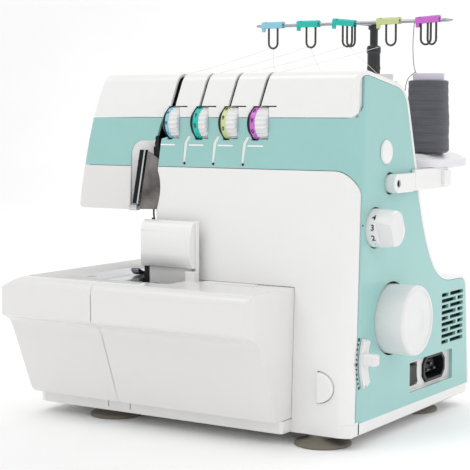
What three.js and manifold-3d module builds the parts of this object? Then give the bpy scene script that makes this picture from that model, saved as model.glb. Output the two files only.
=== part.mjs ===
// A four-thread serger (overlock sewing machine), modelled in millimetres with +Z up.
// The operator sits at -Y. While modelling, x = 0 is the outer face of the right side panel,
// y = 0 the foot of the front plate and z = 0 the table; the last lines move the origin to the
// middle of the footprint of the whole machine.
import * as THREE from "three";
import { mergeVertices } from "three/addons/utils/BufferGeometryUtils.js";
import { ConvexGeometry } from "three/addons/geometries/ConvexGeometry.js";
import Module from "manifold-3d";

const wasm = await Module();
wasm.setup();

// ---------------------------------------------------------------- driving dimensions
const FOOT_HEIGHT = 9;
const RIM_TOP = 18.4; // top of the base tray's rim
const BED_TOP = 121; // sewing surface
const HEAD_BOTTOM = 175;
const BAND_BOTTOM = 211; // coloured band on the front of the head
const BAND_TOP = 251;
const CASE_TOP = 288;
const TOWER_LEFT = -181.5;
const HEAD_LEFT = -264; // left end of the head at its bottom edge
const HEAD_SLANT = 0.257; // the left end leans in by this much for each mm of height
const BASE_LEFT = -287;
const REAR = 218;
const FRONT = -60; // front face of the looper cover
const LEFT = -296; // left face of the bed extension
const RIGHT = 24; // outer face of the handwheel
const SEAM_X = -201; // joint between the bed extension and the looper cover
const COVER_RIGHT = -52;
const CORNER = 12; // radius of the upright corner between the front and the right side
const WALL = 2.6;
const GAP = 0.4;
const LEAN = 0.042; // the front plate leans back by this much for each mm of height

const DIAL_FIRST_X = -174; // left face of the first tension dial
const DIAL_PITCH = 27;
const DIAL_WIDTH = 18;
const DIAL_DISC = 8.5; // width of the numbered disc; the rest is the knurled grip
const DIAL_RADIUS = 16;
const DIAL_AXIS = { y: 18, z: 246.5 };
const WINDOW = { bottom: 230.5, top: 262.5 };
const THREAD_SLANT = 0.26; // the thread slots lean to the right by this much for each mm of height
const DIAL_COLOURS = { blue: 0x7cc4e4, teal: 0x18a99b, lime: 0xc3d77c, purple: 0xc25fc4 };

const WHEEL = { y: 65.5, z: 93.5, radius: 28 };
const LENGTH_DIAL = { y: 36.5, z: 167, radius: 15 };
const FEED_LEVER = { y: 54.5, z: 65, reach: 40 };
const SIDE_CAP = { y: 54, z: 224.5 };
const ARM_HUB = { y: 60, z: 200 }; // front end of the spool stand's right arm
const INLET = { y0: 100, y1: 182, z0: 28, z1: 53.5 };
const BUTTON = { x: -29.3, z: 46, width: 14, height: 24 };
const NEEDLE = { x: -193, y: 24 };
const LIFTER = { x: -193, back: 122.6, z: 204 };
const PRESSER = { x: -193, y: 44 };
const NEEDLE_PLATE = { x0: -243, x1: -171, y0: -35, y1: 45 };
const BED = { left: -279, right: TOWER_LEFT - GAP, front: -46, rear: 198, frontRight: -169.5 };
const FEED_XS = [-199, -193, -187];
const KNIFE = { x: -176, y: -8 };
const GUARD = { left: -184, right: -139, front: -22, bottom: 131, top: 168 };
const EXTENSION_CHAMFER = { x: -280.4, bottom: 112 }; // slope along the top left edge
const POLE = { x: -82, y: 190 };
const SPOOL = { y: 150, z: 222.5, radius: 16.4, height: 59, xs: [-10, -57, -111, -158] };
const CLIP_XS = [-163, -125, -88, -49, -11];
const CLIP_COLOURS = [0x7cc4e4, 0x18a99b, 0x18a99b, 0xc3d77c, 0xc25fc4];
const GUIDE_Z = 331;
const GUIDE_FRAME = { y: 150, left: -174, right: 1, spacing: 12 };
const MOTOR = { x: -120, y: 178, z: 62 };

// ---------------------------------------------------------------- materials
const finish = (color, roughness, metalness = 0) =>
  new THREE.MeshStandardMaterial({ color, roughness, metalness });
const WHITE = finish(0xeeeeec, 0.35);
const MINT = finish(0xa5d2cd, 0.35);
const LIGHT_GREY = finish(0xcfd2d2, 0.4);
const BLACK = finish(0x1c1d20, 0.45);
const RUBBER = finish(0x6f6a60, 0.8);
const STEEL = finish(0xb9bcc0, 0.25, 1);
const CHROME = finish(0xd5d7da, 0.1, 1);
const CASTING = finish(0x9b9ea2, 0.55, 0.8);
const THREAD_GREY = finish(0x5e5f66, 0.85);
const THREAD_WHITE = finish(0xe6e6e2, 0.85);

// ---------------------------------------------------------------- shape helpers
const lean = (z) => LEAN * (z - FOOT_HEIGHT);

// A closed geometry as a manifold-3d solid: only the positions count, and shared vertices are merged.
function toSolid(geometry) {
  const bare = geometry.clone();
  bare.deleteAttribute("normal");
  bare.deleteAttribute("uv");
  const merged = mergeVertices(bare, 1e-4);
  return new wasm.Manifold(
    new wasm.Mesh({
      numProp: 3,
      vertProperties: merged.attributes.position.array,
      triVerts: Uint32Array.from(merged.index.array),
    }),
  );
}

function toGeometry(solid) {
  const { vertProperties, triVerts } = solid.getMesh();
  return new THREE.BufferGeometry()
    .setAttribute("position", new THREE.BufferAttribute(vertProperties, 3))
    .setIndex(new THREE.BufferAttribute(triVerts, 1))
    .toNonIndexed();
}

const join = (...solids) => solids.reduce((whole, next) => whole.add(next));
const cut = (solid, ...tools) => tools.reduce((rest, tool) => rest.subtract(tool), solid);

function box(x0, x1, y0, y1, z0, z1) {
  const made = new THREE.BoxGeometry(x1 - x0, y1 - y0, z1 - z0);
  return toSolid(made.translate((x0 + x1) / 2, (y0 + y1) / 2, (z0 + z1) / 2));
}

// A box whose y is measured from the leaning front plate.
function leaningBox(x0, x1, y0, y1, z0, z1) {
  const made = new THREE.BoxGeometry(x1 - x0, y1 - y0, z1 - z0);
  made.translate((x0 + x1) / 2, (y0 + y1) / 2, (z0 + z1) / 2);
  return toSolid(made.applyMatrix4(SHEAR));
}
const SHEAR = new THREE.Matrix4()
  .makeShear(0, 0, 0, 0, 0, LEAN)
  .setPosition(0, -LEAN * FOOT_HEIGHT, 0);

const BASES = {
  x: [new THREE.Vector3(0, 1, 0), new THREE.Vector3(0, 0, 1), new THREE.Vector3(1, 0, 0)],
  y: [new THREE.Vector3(0, 0, 1), new THREE.Vector3(1, 0, 0), new THREE.Vector3(0, 1, 0)],
  z: [new THREE.Vector3(1, 0, 0), new THREE.Vector3(0, 1, 0), new THREE.Vector3(0, 0, 1)],
};

// Extrudes an outline along an axis: its two coordinates are (y, z), (z, x) or (x, y).
function prismGeometry(axis, outline, from, to, segments = 4) {
  const drawn = outline instanceof THREE.Shape;
  const shape = drawn ? outline : new THREE.Shape(outline.map((point) => new THREE.Vector2(...point)));
  const made = new THREE.ExtrudeGeometry(shape, {
    depth: to - from,
    bevelEnabled: false,
    curveSegments: segments,
  });
  return made.translate(0, 0, from).applyMatrix4(new THREE.Matrix4().makeBasis(...BASES[axis]));
}
const prism = (...args) => toSolid(prismGeometry(...args));

// A round bar along an axis from a centre in the two other coordinates, as for prism.
function rod(axis, u, v, from, to, radius, sides = 20, endRadius = radius) {
  const made = new THREE.CylinderGeometry(endRadius, radius, to - from, sides);
  made.rotateX(Math.PI / 2).translate(u, v, (from + to) / 2);
  return toSolid(made.applyMatrix4(new THREE.Matrix4().makeBasis(...BASES[axis])));
}

// A turned piece: the profile is a list of (radius, height along the axis).
function turned(axis, u, v, profile, sides = 24) {
  const made = new THREE.LatheGeometry(profile.map(([r, h]) => new THREE.Vector2(r, h)), sides);
  made.rotateX(Math.PI / 2).translate(u, v, 0);
  return toSolid(made.applyMatrix4(new THREE.Matrix4().makeBasis(...BASES[axis])));
}

// A round wire along a curve.
function wire(curve, radius, steps, sides = 6) {
  const section = new THREE.Shape();
  for (let i = 0; i < sides; i++) {
    const angle = (i / sides) * 2 * Math.PI;
    section[i ? "lineTo" : "moveTo"](radius * Math.cos(angle), radius * Math.sin(angle));
  }
  return toSolid(new THREE.ExtrudeGeometry(section, { steps, extrudePath: curve, bevelEnabled: false }));
}

const through = (points, closed = false) =>
  new THREE.CatmullRomCurve3(points.map((p) => new THREE.Vector3(...p)), closed, "centripetal");

function roundedRectangle(u0, u1, v0, v1, r) {
  const shape = new THREE.Shape();
  shape.moveTo(u0 + r, v0);
  shape.lineTo(u1 - r, v0);
  shape.absarc(u1 - r, v0 + r, r, -Math.PI / 2, 0);
  shape.lineTo(u1, v1 - r);
  shape.absarc(u1 - r, v1 - r, r, 0, Math.PI / 2);
  shape.lineTo(u0 + r, v1);
  shape.absarc(u0 + r, v1 - r, r, Math.PI / 2, Math.PI);
  shape.lineTo(u0, v0 + r);
  shape.absarc(u0 + r, v0 + r, r, Math.PI, 1.5 * Math.PI);
  return shape;
}

// The outline moved inwards by a distance; the outline runs clockwise.
function inset(outline, distance) {
  return outline.map(([u, v], i) => {
    const [pu, pv] = outline.at(i - 1);
    const [nu, nv] = outline[(i + 1) % outline.length];
    const before = new THREE.Vector2(v - pv, pu - u).normalize();
    const after = new THREE.Vector2(nv - v, u - nu).normalize();
    const mitre = before.clone().add(after).normalize();
    const reach = distance / mitre.dot(before);
    return [u + mitre.x * reach, v + mitre.y * reach];
  });
}

// ---------------------------------------------------------------- assembly
const machine = new THREE.Group();
function add(name, solid, material) {
  const mesh = new THREE.Mesh(toGeometry(solid), material);
  mesh.name = name;
  machine.add(mesh);
}

// ---------------------------------------------------------------- outer casing
// Side view of the casing as (y, z), clockwise from the foot of the front plate.
function caseOutline() {
  const path = new THREE.Path();
  path.moveTo(lean(RIM_TOP + GAP), RIM_TOP + GAP);
  path.lineTo(lean(277), 277);
  path.quadraticCurveTo(lean(CASE_TOP), CASE_TOP, 24, CASE_TOP - 1.5);
  path.lineTo(74, 278);
  path.quadraticCurveTo(89, 275, 94, 261);
  path.lineTo(111, 203);
  path.bezierCurveTo(119, 176, 128, 151, 141, 134);
  path.quadraticCurveTo(154, 117, 176, 116.5);
  path.lineTo(198, 116);
  path.quadraticCurveTo(209, 115.5, 211, 104);
  path.lineTo(REAR - 0.5, RIM_TOP + GAP);
  return path.getPoints(5).map((p) => [p.x, p.y]);
}
const OUTLINE = caseOutline();

// The tower and the head as one solid, smaller all round by a margin.
function caseSolid(margin) {
  const outline = margin ? inset(OUTLINE, margin) : OUTLINE;
  const floor = RIM_TOP - 5 * Math.sign(margin);
  const tower = prism("x", outline, TOWER_LEFT + margin, -margin);
  const headBlock = prism("x", outline, HEAD_LEFT + margin, TOWER_LEFT + margin);
  const head = headBlock.intersect(box(-300, 50, -50, 300, HEAD_BOTTOM + margin, 400));
  // The left end of the head leans in towards the top, and the right front corner is round.
  const endAt = (z) => HEAD_LEFT + margin + HEAD_SLANT * (z - HEAD_BOTTOM);
  const endRoom = [[HEAD_BOTTOM, endAt(HEAD_BOTTOM)], [300, endAt(300)], [300, -320], [HEAD_BOTTOM, -320]];
  const plan = prismGeometry("z", roundedRectangle(-320, -margin, margin, 400, CORNER), floor - 20, 300, 5);
  return cut(join(tower, head), prism("y", endRoom, -50, 300)).intersect(toSolid(plan.applyMatrix4(SHEAR)));
}

// The hollow in the front of the head where the needles and the face plate are.
const notch = (margin) =>
  prism("y", [
    [HEAD_BOTTOM - 9, TOWER_LEFT - GAP + margin],
    [HEAD_BOTTOM - 9, -212 - margin],
    [224, -212 - margin],
    [232 + margin, -204],
    [232 + margin, TOWER_LEFT - GAP + margin],
  ], -30, 52 + margin);

const shell = cut(caseSolid(0), notch(0)).subtract(cut(caseSolid(WALL), notch(WALL)));

// A slot through the front that leans to the right as it rises, from one height to another.
function slantedSlot(x, width, y0, y1, z0, z1) {
  const at = (z) => x + THREAD_SLANT * (z - WINDOW.top);
  const corners = [[z0, at(z0)], [z0, at(z0) + width], [z1, at(z1) + width], [z1, at(z1)]];
  return prism("y", corners.reverse(), y0, y1);
}

// Windows for the tension dials, the thread slots above them and the thread grooves below.
function dialOpenings() {
  const tools = [];
  for (let i = 0; i < 4; i++) {
    const x = DIAL_FIRST_X + i * DIAL_PITCH;
    tools.push(box(x - 2.6, x + DIAL_WIDTH + 1.2, -20, 34, WINDOW.bottom, WINDOW.top));
    tools.push(slantedSlot(x + DIAL_DISC + 1, 2.2, -20, 34, WINDOW.top - 1, CASE_TOP + 5));
    tools.push(slantedSlot(x + 1.2, 2.4, -20, lean(BAND_BOTTOM) + 1.3, BAND_BOTTOM - 9, WINDOW.bottom + 1));
  }
  return tools;
}

function makeCasing() {
  const panelOutline = inset(OUTLINE, 3);
  const panelSpace = prism("x", inset(OUTLINE, 3 - GAP), -WALL - GAP, 10);
  const front = (z0, z1, x0 = -400, x1 = 10) => leaningBox(x0, x1, -40, 7, z0, z1);
  const openings = dialOpenings();

  // Green side panel, with its openings for the controls, the socket and the motor's air.
  const vents = [];
  for (let row = 0; row < 8; row++) {
    const z = 60 + row * 5.6;
    const split = 163 + (row % 2 ? 13 : 25);
    vents.push(box(-9, 9, 163, split - 1.5, z, z + 2.6), box(-9, 9, split + 1.5, 203, z, z + 2.6));
  }
  const leverSlot = prism("x", leverSector(FEED_LEVER.reach - 2.6, FEED_LEVER.reach + 2.6, 22), -9, 9);
  add(
    "side_panel",
    cut(
      cut(prism("x", panelOutline, -WALL, 0), leaningBox(-9, 9, -40, 7 + GAP, 0, 400)),
      rod("x", WHEEL.y, WHEEL.z, -9, 9, 26, 28),
      rod("x", LENGTH_DIAL.y, LENGTH_DIAL.z, -9, 9, 13, 24),
      rod("x", ARM_HUB.y, ARM_HUB.z, -9, 9, 9.5, 20),
      rod("x", SIDE_CAP.y, SIDE_CAP.z, -9, 9, 7, 16),
      box(-9, 9, INLET.y0, INLET.y1, INLET.z0, INLET.z1),
      leverSlot,
      ...vents,
    ),
    MINT,
  );
  const capProfile = [[0, -6], [6.6, -6], [6.6, 0.3], [9.5, 0.3], [9.5, 1.2], [8, 2.2], [0, 2.6]];
  add("side_cap", turned("x", SIDE_CAP.y, SIDE_CAP.z, capProfile, 20), WHITE);

  const topRegion = box(-400, 10, -40, 84, BAND_TOP + GAP / 2, 400);
  add("top_cover", cut(shell.intersect(topRegion), panelSpace, ...openings), WHITE);

  const bandRegion = front(BAND_BOTTOM + GAP / 2, BAND_TOP - GAP / 2);
  add("tension_fascia", cut(shell.intersect(bandRegion), ...openings), MINT);

  const sideLip = leaningBox(TOWER_LEFT - 1, TOWER_LEFT + 6, -40, 30, 0, BAND_BOTTOM - GAP / 2);
  const plateRegion = cut(
    join(front(0, BAND_BOTTOM - GAP / 2, TOWER_LEFT - GAP / 2), sideLip),
    box(-400, COVER_RIGHT + GAP, -40, 50, 0, BED_TOP + GAP),
    box(-400, TOWER_LEFT + 4, -40, 50, HEAD_BOTTOM, 400),
  );
  const buttonHole = prism("y", buttonOutline(GAP), -20, 20);
  add("front_plate", cut(shell.intersect(plateRegion), panelSpace, buttonHole), WHITE);

  const headRegion = cut(
    box(-400, TOWER_LEFT - GAP / 2, -60, 84, HEAD_BOTTOM - 2, BAND_TOP - GAP / 2),
    leaningBox(-400, 10, -60, 7 + GAP, BAND_BOTTOM - GAP / 2, 400),
  );
  const needleBore = rod("z", NEEDLE.x, NEEDLE.y, 225, 240, 4.2, 12);
  const presserBore = rod("z", PRESSER.x, PRESSER.y, 225, 240, 4.2, 12);
  add("head_shell", cut(shell.intersect(headRegion), needleBore, presserBore), WHITE);

  // Everything behind the front pieces: the tower's left wall, the back and the motor ledge.
  const frontPieces = join(
    box(-400, 10, -60, 84 + GAP, BAND_TOP - GAP / 2, 400),
    leaningBox(-400, 10, -60, 7 + GAP, 0, BAND_TOP + 1),
    leaningBox(-400, TOWER_LEFT + 6 + GAP, -60, 30 + GAP, 0, BAND_BOTTOM),
    box(-400, TOWER_LEFT + GAP / 2, -60, 84 + GAP, HEAD_BOTTOM - 2, BAND_TOP + 1),
  );
  const mechanismBay = box(-200, TOWER_LEFT + 8, -20, 120, 0, BED_TOP + GAP);
  const cornerRoom = box(-12, 1, 5, 40, 0, BAND_TOP);
  const lifterSlot = rod("y", LIFTER.z, LIFTER.x, 90, 125, 5, 16);
  add("rear_cover", cut(shell, frontPieces, panelSpace, mechanismBay, cornerRoom, lifterSlot), WHITE);
}

// The thumb button's outline as (z, x): flat towards the cover and round on its other side.
function buttonOutline(margin) {
  const { x, z, width, height } = BUTTON;
  const shape = new THREE.Shape();
  shape.moveTo(z - height / 2 - margin, x - margin);
  shape.lineTo(z - height / 2 - margin, x);
  shape.absellipse(z, x, height / 2 + margin, width + margin, Math.PI, 0, true);
  shape.lineTo(z + height / 2 + margin, x - margin);
  return shape;
}

// The sector of a ring around the feed lever's pivot, as (y, z), opening towards the front.
function leverSector(inner, outer, halfDegrees) {
  const shape = new THREE.Shape();
  const half = THREE.MathUtils.degToRad(halfDegrees);
  shape.absarc(FEED_LEVER.y, FEED_LEVER.z, outer, Math.PI - half, Math.PI + half);
  shape.absarc(FEED_LEVER.y, FEED_LEVER.z, inner, Math.PI + half, Math.PI - half, true);
  return shape;
}

// ---------------------------------------------------------------- base, feet and bed
function makeBase() {
  const plan = (margin) => {
    const outline = roundedRectangle(BASE_LEFT + margin, -margin, -13 + margin, REAR - margin, 10);
    const outer = prism("z", outline, FOOT_HEIGHT + margin, RIM_TOP + 5 * Math.sign(margin));
    return cut(outer, box(-60 - margin, 20, -40, 0.2 + margin, 0, 60));
  };

  // The arm that carries the bed: left wall, front wall and back wall, open to the mechanism.
  const armOuter = box(-277, TOWER_LEFT - GAP, -11, 196, FOOT_HEIGHT + 1, BED_TOP - 3.4);
  const armInner = box(-277 + WALL, TOWER_LEFT + 30, -11 + WALL, 196 - WALL, 0, BED_TOP - 3.4 - WALL);
  const looperOpening = box(-200, -170, -30, 20, 60, BED_TOP);
  const { x0, x1, y0, y1 } = NEEDLE_PLATE;
  const plateWell = box(x0 + 1, -150, -60, y1 - 1, BED_TOP - 9, BED_TOP + 1);
  add("base_tray", join(cut(plan(0), plan(3)), cut(armOuter, armInner, plateWell, looperOpening)), WHITE);

  const footTop = FOOT_HEIGHT - 0.3;
  const footProfile = [[0, 0], [20.5, 0], [20.5, 1.6], [15, 4.6], [11, 6.2], [11, footTop], [0, footTop]];
  for (const [side, x] of [["left", -231], ["right", -30]])
    for (const [end, y] of [["front", 11], ["rear", 165]])
      add(`foot_${end}_${side}`, turned("z", x, y, footProfile, 24), RUBBER);

  const bed = join(
    prism("z", roundedRectangle(BED.left, BED.right, BED.front, BED.rear, 3), BED_TOP - 3, BED_TOP, 2),
    box(BED.right - 5, BED.frontRight, BED.front, -1, BED_TOP - 3, BED_TOP),
  );
  add("bed_plate", cut(bed, box(x0 - GAP, 0, y0 - GAP, y1 + GAP, 0, 200)), LIGHT_GREY);

  // Polished needle plate with the needle slot, the feed dog slots and the knife's gap.
  const plate = prism("z", roundedRectangle(x0, x1, y0, y1, 2), BED_TOP - 3, BED_TOP, 2);
  const feedSlots = FEED_XS.map((x) => box(x - 1.7, x + 1.7, NEEDLE.y - 10, NEEDLE.y - 4, 0, 200));
  const feedSlotsBehind = FEED_XS.map((x) => box(x - 1.7, x + 1.7, NEEDLE.y + 5, NEEDLE.y + 18, 0, 200));
  const needleHole = box(NEEDLE.x - 5.5, NEEDLE.x + 5.5, NEEDLE.y - 2, NEEDLE.y + 2, 0, 200);
  const knifeGap = box(KNIFE.x - 4.2, KNIFE.x + 2.6, KNIFE.y - 10, KNIFE.y + 14, 0, 200);
  add("needle_plate", cut(plate, ...feedSlots, ...feedSlotsBehind, needleHole, knifeGap), STEEL);
}

// ---------------------------------------------------------------- looper cover and bed extension
// Side view of the cover as (y, z), clockwise from the bottom of the back edge.
function coverOutline() {
  const path = new THREE.Path();
  path.moveTo(-15, RIM_TOP + 1.4);
  path.lineTo(-24, RIM_TOP + 1.4);
  path.lineTo(-45, 76);
  path.quadraticCurveTo(-48, 84, -54, 86.5);
  path.lineTo(FRONT, 90);
  path.lineTo(FRONT, 112);
  path.quadraticCurveTo(FRONT, 119.6, -50, BED_TOP - 0.2);
  path.lineTo(-1, BED_TOP - 0.2);
  path.lineTo(-1, 100);
  path.lineTo(-15, 86);
  return path.getPoints(4).map((p) => [p.x, p.y]);
}

// A hollow body with the cover's section, open at the back. Its open sides have no end wall.
function coverBody(x0, x1, openLeft, openRight, corner) {
  const outline = coverOutline();
  const plan = roundedRectangle(openLeft ? x0 - 40 : x0, openRight ? x1 + 40 : x1, FRONT, 60, corner);
  const outer = prism("x", outline, x0, x1).intersect(prism("z", plan, 0, 200));
  const innerLeft = openLeft ? x0 - 5 : x0 + WALL;
  const innerRight = openRight ? x1 + 5 : x1 - WALL;
  const inner = prism("x", inset(outline, WALL), innerLeft, innerRight);
  const back = box(innerLeft, innerRight, -19, 5, 24, BED_TOP - WALL - 0.2);
  return { outer, hollow: join(inner, back) };
}

// The room above the slope along the bed extension's top left edge.
function aboveChamfer(margin) {
  const drop = 1.15 * margin;
  const { x, bottom } = EXTENSION_CHAMFER;
  const rise = (BED_TOP - 0.2 - bottom) / (x - LEFT);
  const at = (place) => bottom - drop + rise * (place - LEFT);
  const outline = [[160, LEFT - 20], [160, x + 20], [at(x + 20), x + 20], [at(LEFT - 20), LEFT - 20]];
  return prism("y", outline, -90, 130);
}

function makeCovers() {
  // The bracket that the knife guard hinges on stands on the cover.
  const bracketRight = GUARD.right + 13;
  const bracketTop = GUARD.bottom - 4.6;
  const post = box(GUARD.right, bracketRight, -22, -4, BED_TOP - 1, bracketTop);
  const fence = box(-168, bracketRight, -6, -4, BED_TOP - 1, bracketTop);
  const cheek = box(-168, -165.5, -22, -4, BED_TOP - 1, bracketTop);
  const bedWell = box(-250, BED.frontRight + GAP, BED.front - GAP, 10, BED_TOP - 3.4, BED_TOP + 5);
  const { outer, hollow } = coverBody(SEAM_X + 0.3, COVER_RIGHT, true, false, 9);
  const endOutline = [[-16, 110], [lean(110) + 1, 110], [lean(24) + 1, 24], [-16, 24]];
  const endWall = prism("x", endOutline, COVER_RIGHT - WALL, COVER_RIGHT);
  add("looper_cover", join(cut(outer, hollow, bedWell), endWall, post, fence, cheek), WHITE);

  const block = coverBody(LEFT, SEAM_X - 0.3, false, true, 4);
  const front = cut(cut(block.outer, aboveChamfer(0)), cut(block.hollow, aboveChamfer(WALL)));
  const bedRoom = box(BED.left - GAP, -190, BED.front - GAP, 10, BED_TOP - 3.4, BED_TOP + 5);
  const sideWall = box(LEFT, BED.left - 0.6, -44, 120, 26, BED_TOP - 0.2);
  const sideRoom = box(LEFT + WALL, BED.left + 5, -60, 120 - WALL, 20, BED_TOP - 3.2);
  const sideFront = prism("x", [[-22, 20], [-41, 76], [-44, 90], [-60, 90], [-60, 20]], LEFT - 5, -270);
  const side = cut(cut(sideWall, sideFront, aboveChamfer(0)), cut(sideRoom, aboveChamfer(WALL)));
  add("bed_extension", join(cut(front, bedRoom), side), WHITE);
  add("cover_button", prism("y", buttonOutline(0), -2.5, 9, 6), WHITE);
}

// ---------------------------------------------------------------- controls on the right side
function makeControls() {
  const rim = WHEEL.radius;
  const wheelProfile = [
    [0, 2], [25, 2], [rim, 3.4], [rim, 20],
    [rim - 1.2, 22.8], [rim - 4, RIGHT], [0, RIGHT],
  ];
  add("handwheel", turned("x", WHEEL.y, WHEEL.z, wheelProfile, 32), WHITE);
  const { y, z, radius } = LENGTH_DIAL;
  const dialProfile = [
    [0, -16], [4, -16], [4, 1.4], [radius - 0.4, 1.4],
    [radius, 2.4], [radius - 1.4, 18], [radius - 3.4, 20], [0, 20],
  ];
  add("stitch_length_dial", turned("x", y, z, dialProfile, 28), WHITE);

  // The lever turns on a hub behind the panel; its blade fills the slot and its grip stands out.
  const { y: pivotY, z: pivotZ, reach } = FEED_LEVER;
  const hub = rod("x", pivotY, pivotZ, -12, -6, 7, 16);
  const spoke = box(-9, -6, pivotY - reach, pivotY, pivotZ - 2, pivotZ + 2);
  const blade = prism("x", leverSector(reach - 4, reach + 3.4, 9), -6, -3.2);
  const grip = box(-6, 13, pivotY - reach - 1.9, pivotY - reach + 1.9, pivotZ - 3.4, pivotZ + 3.4);
  add("feed_lever", join(hub, spoke, blade, grip), WHITE);

  // Recessed panel with the mains inlet and the power switch.
  const { y0, y1, z0, z1 } = INLET;
  const pan = cut(box(-12, -3, y0 - 4, y1 + 4, z0 - 4, z1 + 4), box(-9.4, 0, y0, y1, z0, z1));
  const switchHole = box(-20, 0, 105, 119, 32.5, 49.5);
  add("inlet_panel", cut(pan, switchHole, box(-20, 0, 129, 163, 30, 51.5)), LIGHT_GREY);
  const octagon = (v0, v1, w0, w1, corner) => [
    [v0, w1 - corner], [v0 + corner, w1], [v1 - corner, w1], [v1, w1 - corner],
    [v1, w0 + corner], [v1 - corner, w0], [v0 + corner, w0], [v0, w0 + corner],
  ];
  const inletBody = prism("x", octagon(129.4, 162.6, 30.4, 51.1, 5), -30, -5);
  const inletWell = prism("x", octagon(132, 160, 33, 48.5, 3.8), -20, 0);
  const pin = (py, pz) => box(-21, -8, py - 2, py + 2, pz - 1, pz + 1);
  add("mains_inlet", join(cut(inletBody, inletWell), pin(139, 39), pin(153, 39), pin(146, 43.5)), BLACK);
  const rocker = prism("x", roundedRectangle(105.4, 118.6, 33.6, 48.4, 1), -17, -8, 1);
  const rockerSlope = prism("y", [[30, -7.6], [30, 0], [52, 0], [52, -10.6]], 100, 125);
  add("power_switch", cut(rocker, rockerSlope), BLACK);
}

// ---------------------------------------------------------------- tension dials
function makeTensionDials() {
  Object.entries(DIAL_COLOURS).forEach(([name, colour], i) => {
    const x = DIAL_FIRST_X + i * DIAL_PITCH;
    const middle = x + DIAL_DISC;
    const end = x + DIAL_WIDTH;
    const grip = DIAL_RADIUS - 1;
    const disc = [[0, x], [DIAL_RADIUS, x], [DIAL_RADIUS, middle]];
    const profile = [...disc, [grip, middle + 0.4], [grip, end], [0, end]];
    add(`tension_dial_${name}`, turned("x", DIAL_AXIS.y, DIAL_AXIS.z, profile, 24), finish(colour, 0.4));
  });
}

// ---------------------------------------------------------------- needles, foot, knives and loopers
function makeSewingParts() {
  const { x, y } = NEEDLE;
  const bar = rod("z", x, y, 178, 268, 3.2, 14);
  const clamp = box(x - 7, x + 7, y - 6, y + 6, 167, 178.2);
  add("needle_bar", join(bar, clamp), STEEL);
  for (const [side, dx, drop] of [["left", -3.2, 0], ["right", 3.2, 3]]) {
    const shank = rod("z", x + dx, y, 148, 166.7, 1, 8);
    const blade = rod("z", x + dx, y, 135 + drop, 148.1, 0.15, 8, 0.8);
    add(`needle_${side}`, join(shank, blade), CHROME);
  }
  const collar = box(PRESSER.x - 5, PRESSER.x + 5, PRESSER.y - 5, PRESSER.y + 5, 204, 210);
  add("presser_bar", join(rod("z", PRESSER.x, PRESSER.y, 140, 262, 3.2, 14), collar), STEEL);
  const soleTop = BED_TOP + 2.8;
  const soleBottom = BED_TOP + GAP;
  const sideView = [
    [6, soleBottom], [-2, soleTop + 2], [0, soleTop + 4],
    [10, soleTop], [56, soleTop], [56, soleBottom],
  ];
  const sole = prism("x", sideView, x - 12, x + 7);
  const ankle = box(x - 8, x + 6, 34, 54, soleTop - 1, soleTop + 4);
  const shank = join(box(x - 5, x + 5, 38, 50, soleTop - 1, 139.7), ankle);
  add("presser_foot", cut(join(sole, shank), box(x - 7, x + 7, y - 5, y + 5, 100, 133)), CHROME);

  // The lever behind the head that lifts the presser foot.
  const { x: px, back, z: pz } = LIFTER;
  const blade = box(px - 4, px + 4, back, back + 3.4, pz - 52, pz + 4);
  const tip = box(px - 6, px + 6, back, back + 7, pz - 56, pz - 46);
  add("presser_lifter", join(rod("y", pz, px, 98, back + 3, 4, 14), blade, tip), WHITE);

  // Face plate: a folded steel sheet beside the needle bar, with a black front edge.
  const faceSide = box(-204.4, -202, 4, 46, HEAD_BOTTOM + 1, 227);
  add("face_plate", join(faceSide, box(-209, -202, 4, 6.4, HEAD_BOTTOM + 1, 227)), STEEL);

  const { x: kx, y: ky } = KNIFE;
  const upperEdge = box(kx, kx + 2, ky - 9, ky + 9, 96, 129);
  const upperArm = box(kx, kx + 26, ky - 9, ky - 3, 96, 102);
  const upperStem = box(kx + 24, kx + 27, ky - 9, ky - 3, 60, 102);
  add("upper_knife", join(upperEdge, upperArm, upperStem), STEEL);
  const lowerEdge = box(kx - 3.6, kx - 1.4, ky - 5, ky + 13, 90, BED_TOP - 0.3);
  add("lower_knife", join(lowerEdge, box(kx - 3.6, kx + 16, ky + 12, ky + 18, 84, 94)), STEEL);

  const looper = (base, tip, height, lane) => {
    const middle = (base + tip) / 2;
    const hook = [[middle, lane, height], [tip, lane, height + 4]];
    const route = [[base, lane, 40], [base - 4, lane, height - 26], ...hook];
    return join(wire(through(route), 1.7, 12, 6), rod("y", 40, base, lane - 4, 30, 5, 16));
  };
  add("upper_looper", looper(-128, -168, 96, -6), STEEL);
  add("lower_looper", looper(-104, -148, 70, 4), STEEL);
  const teeth = FEED_XS.flatMap((fx) => [
    box(fx - 1.2, fx + 1.2, y - 9, y - 5, 108, BED_TOP - 0.5),
    box(fx - 1.2, fx + 1.2, y + 7, y + 16, 108, BED_TOP - 0.5),
  ]);
  add("feed_dog", join(...teeth, box(-201, -185, y - 9, y + 30, 104, 108.2)), STEEL);
}

// ---------------------------------------------------------------- knife guard
function makeGuard() {
  const { left, right, front, bottom, top } = GUARD;
  const outer = prism("z", roundedRectangle(left, right, front, 30, 7), bottom, top, 5);
  const inner = prism("z", roundedRectangle(left + 2, right - 2, front + 2, 60, 6), bottom - 5, top - 2, 5);
  const cutBack = box(left - 5, right + 5, -1, 60, bottom - 5, top + 5);
  const flange = box(right - 0.1, right + 1.6, front + 9, -1, bottom - 4, top + 1);
  add("knife_guard", join(cut(outer, inner, cutBack), flange), WHITE);
}

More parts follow.
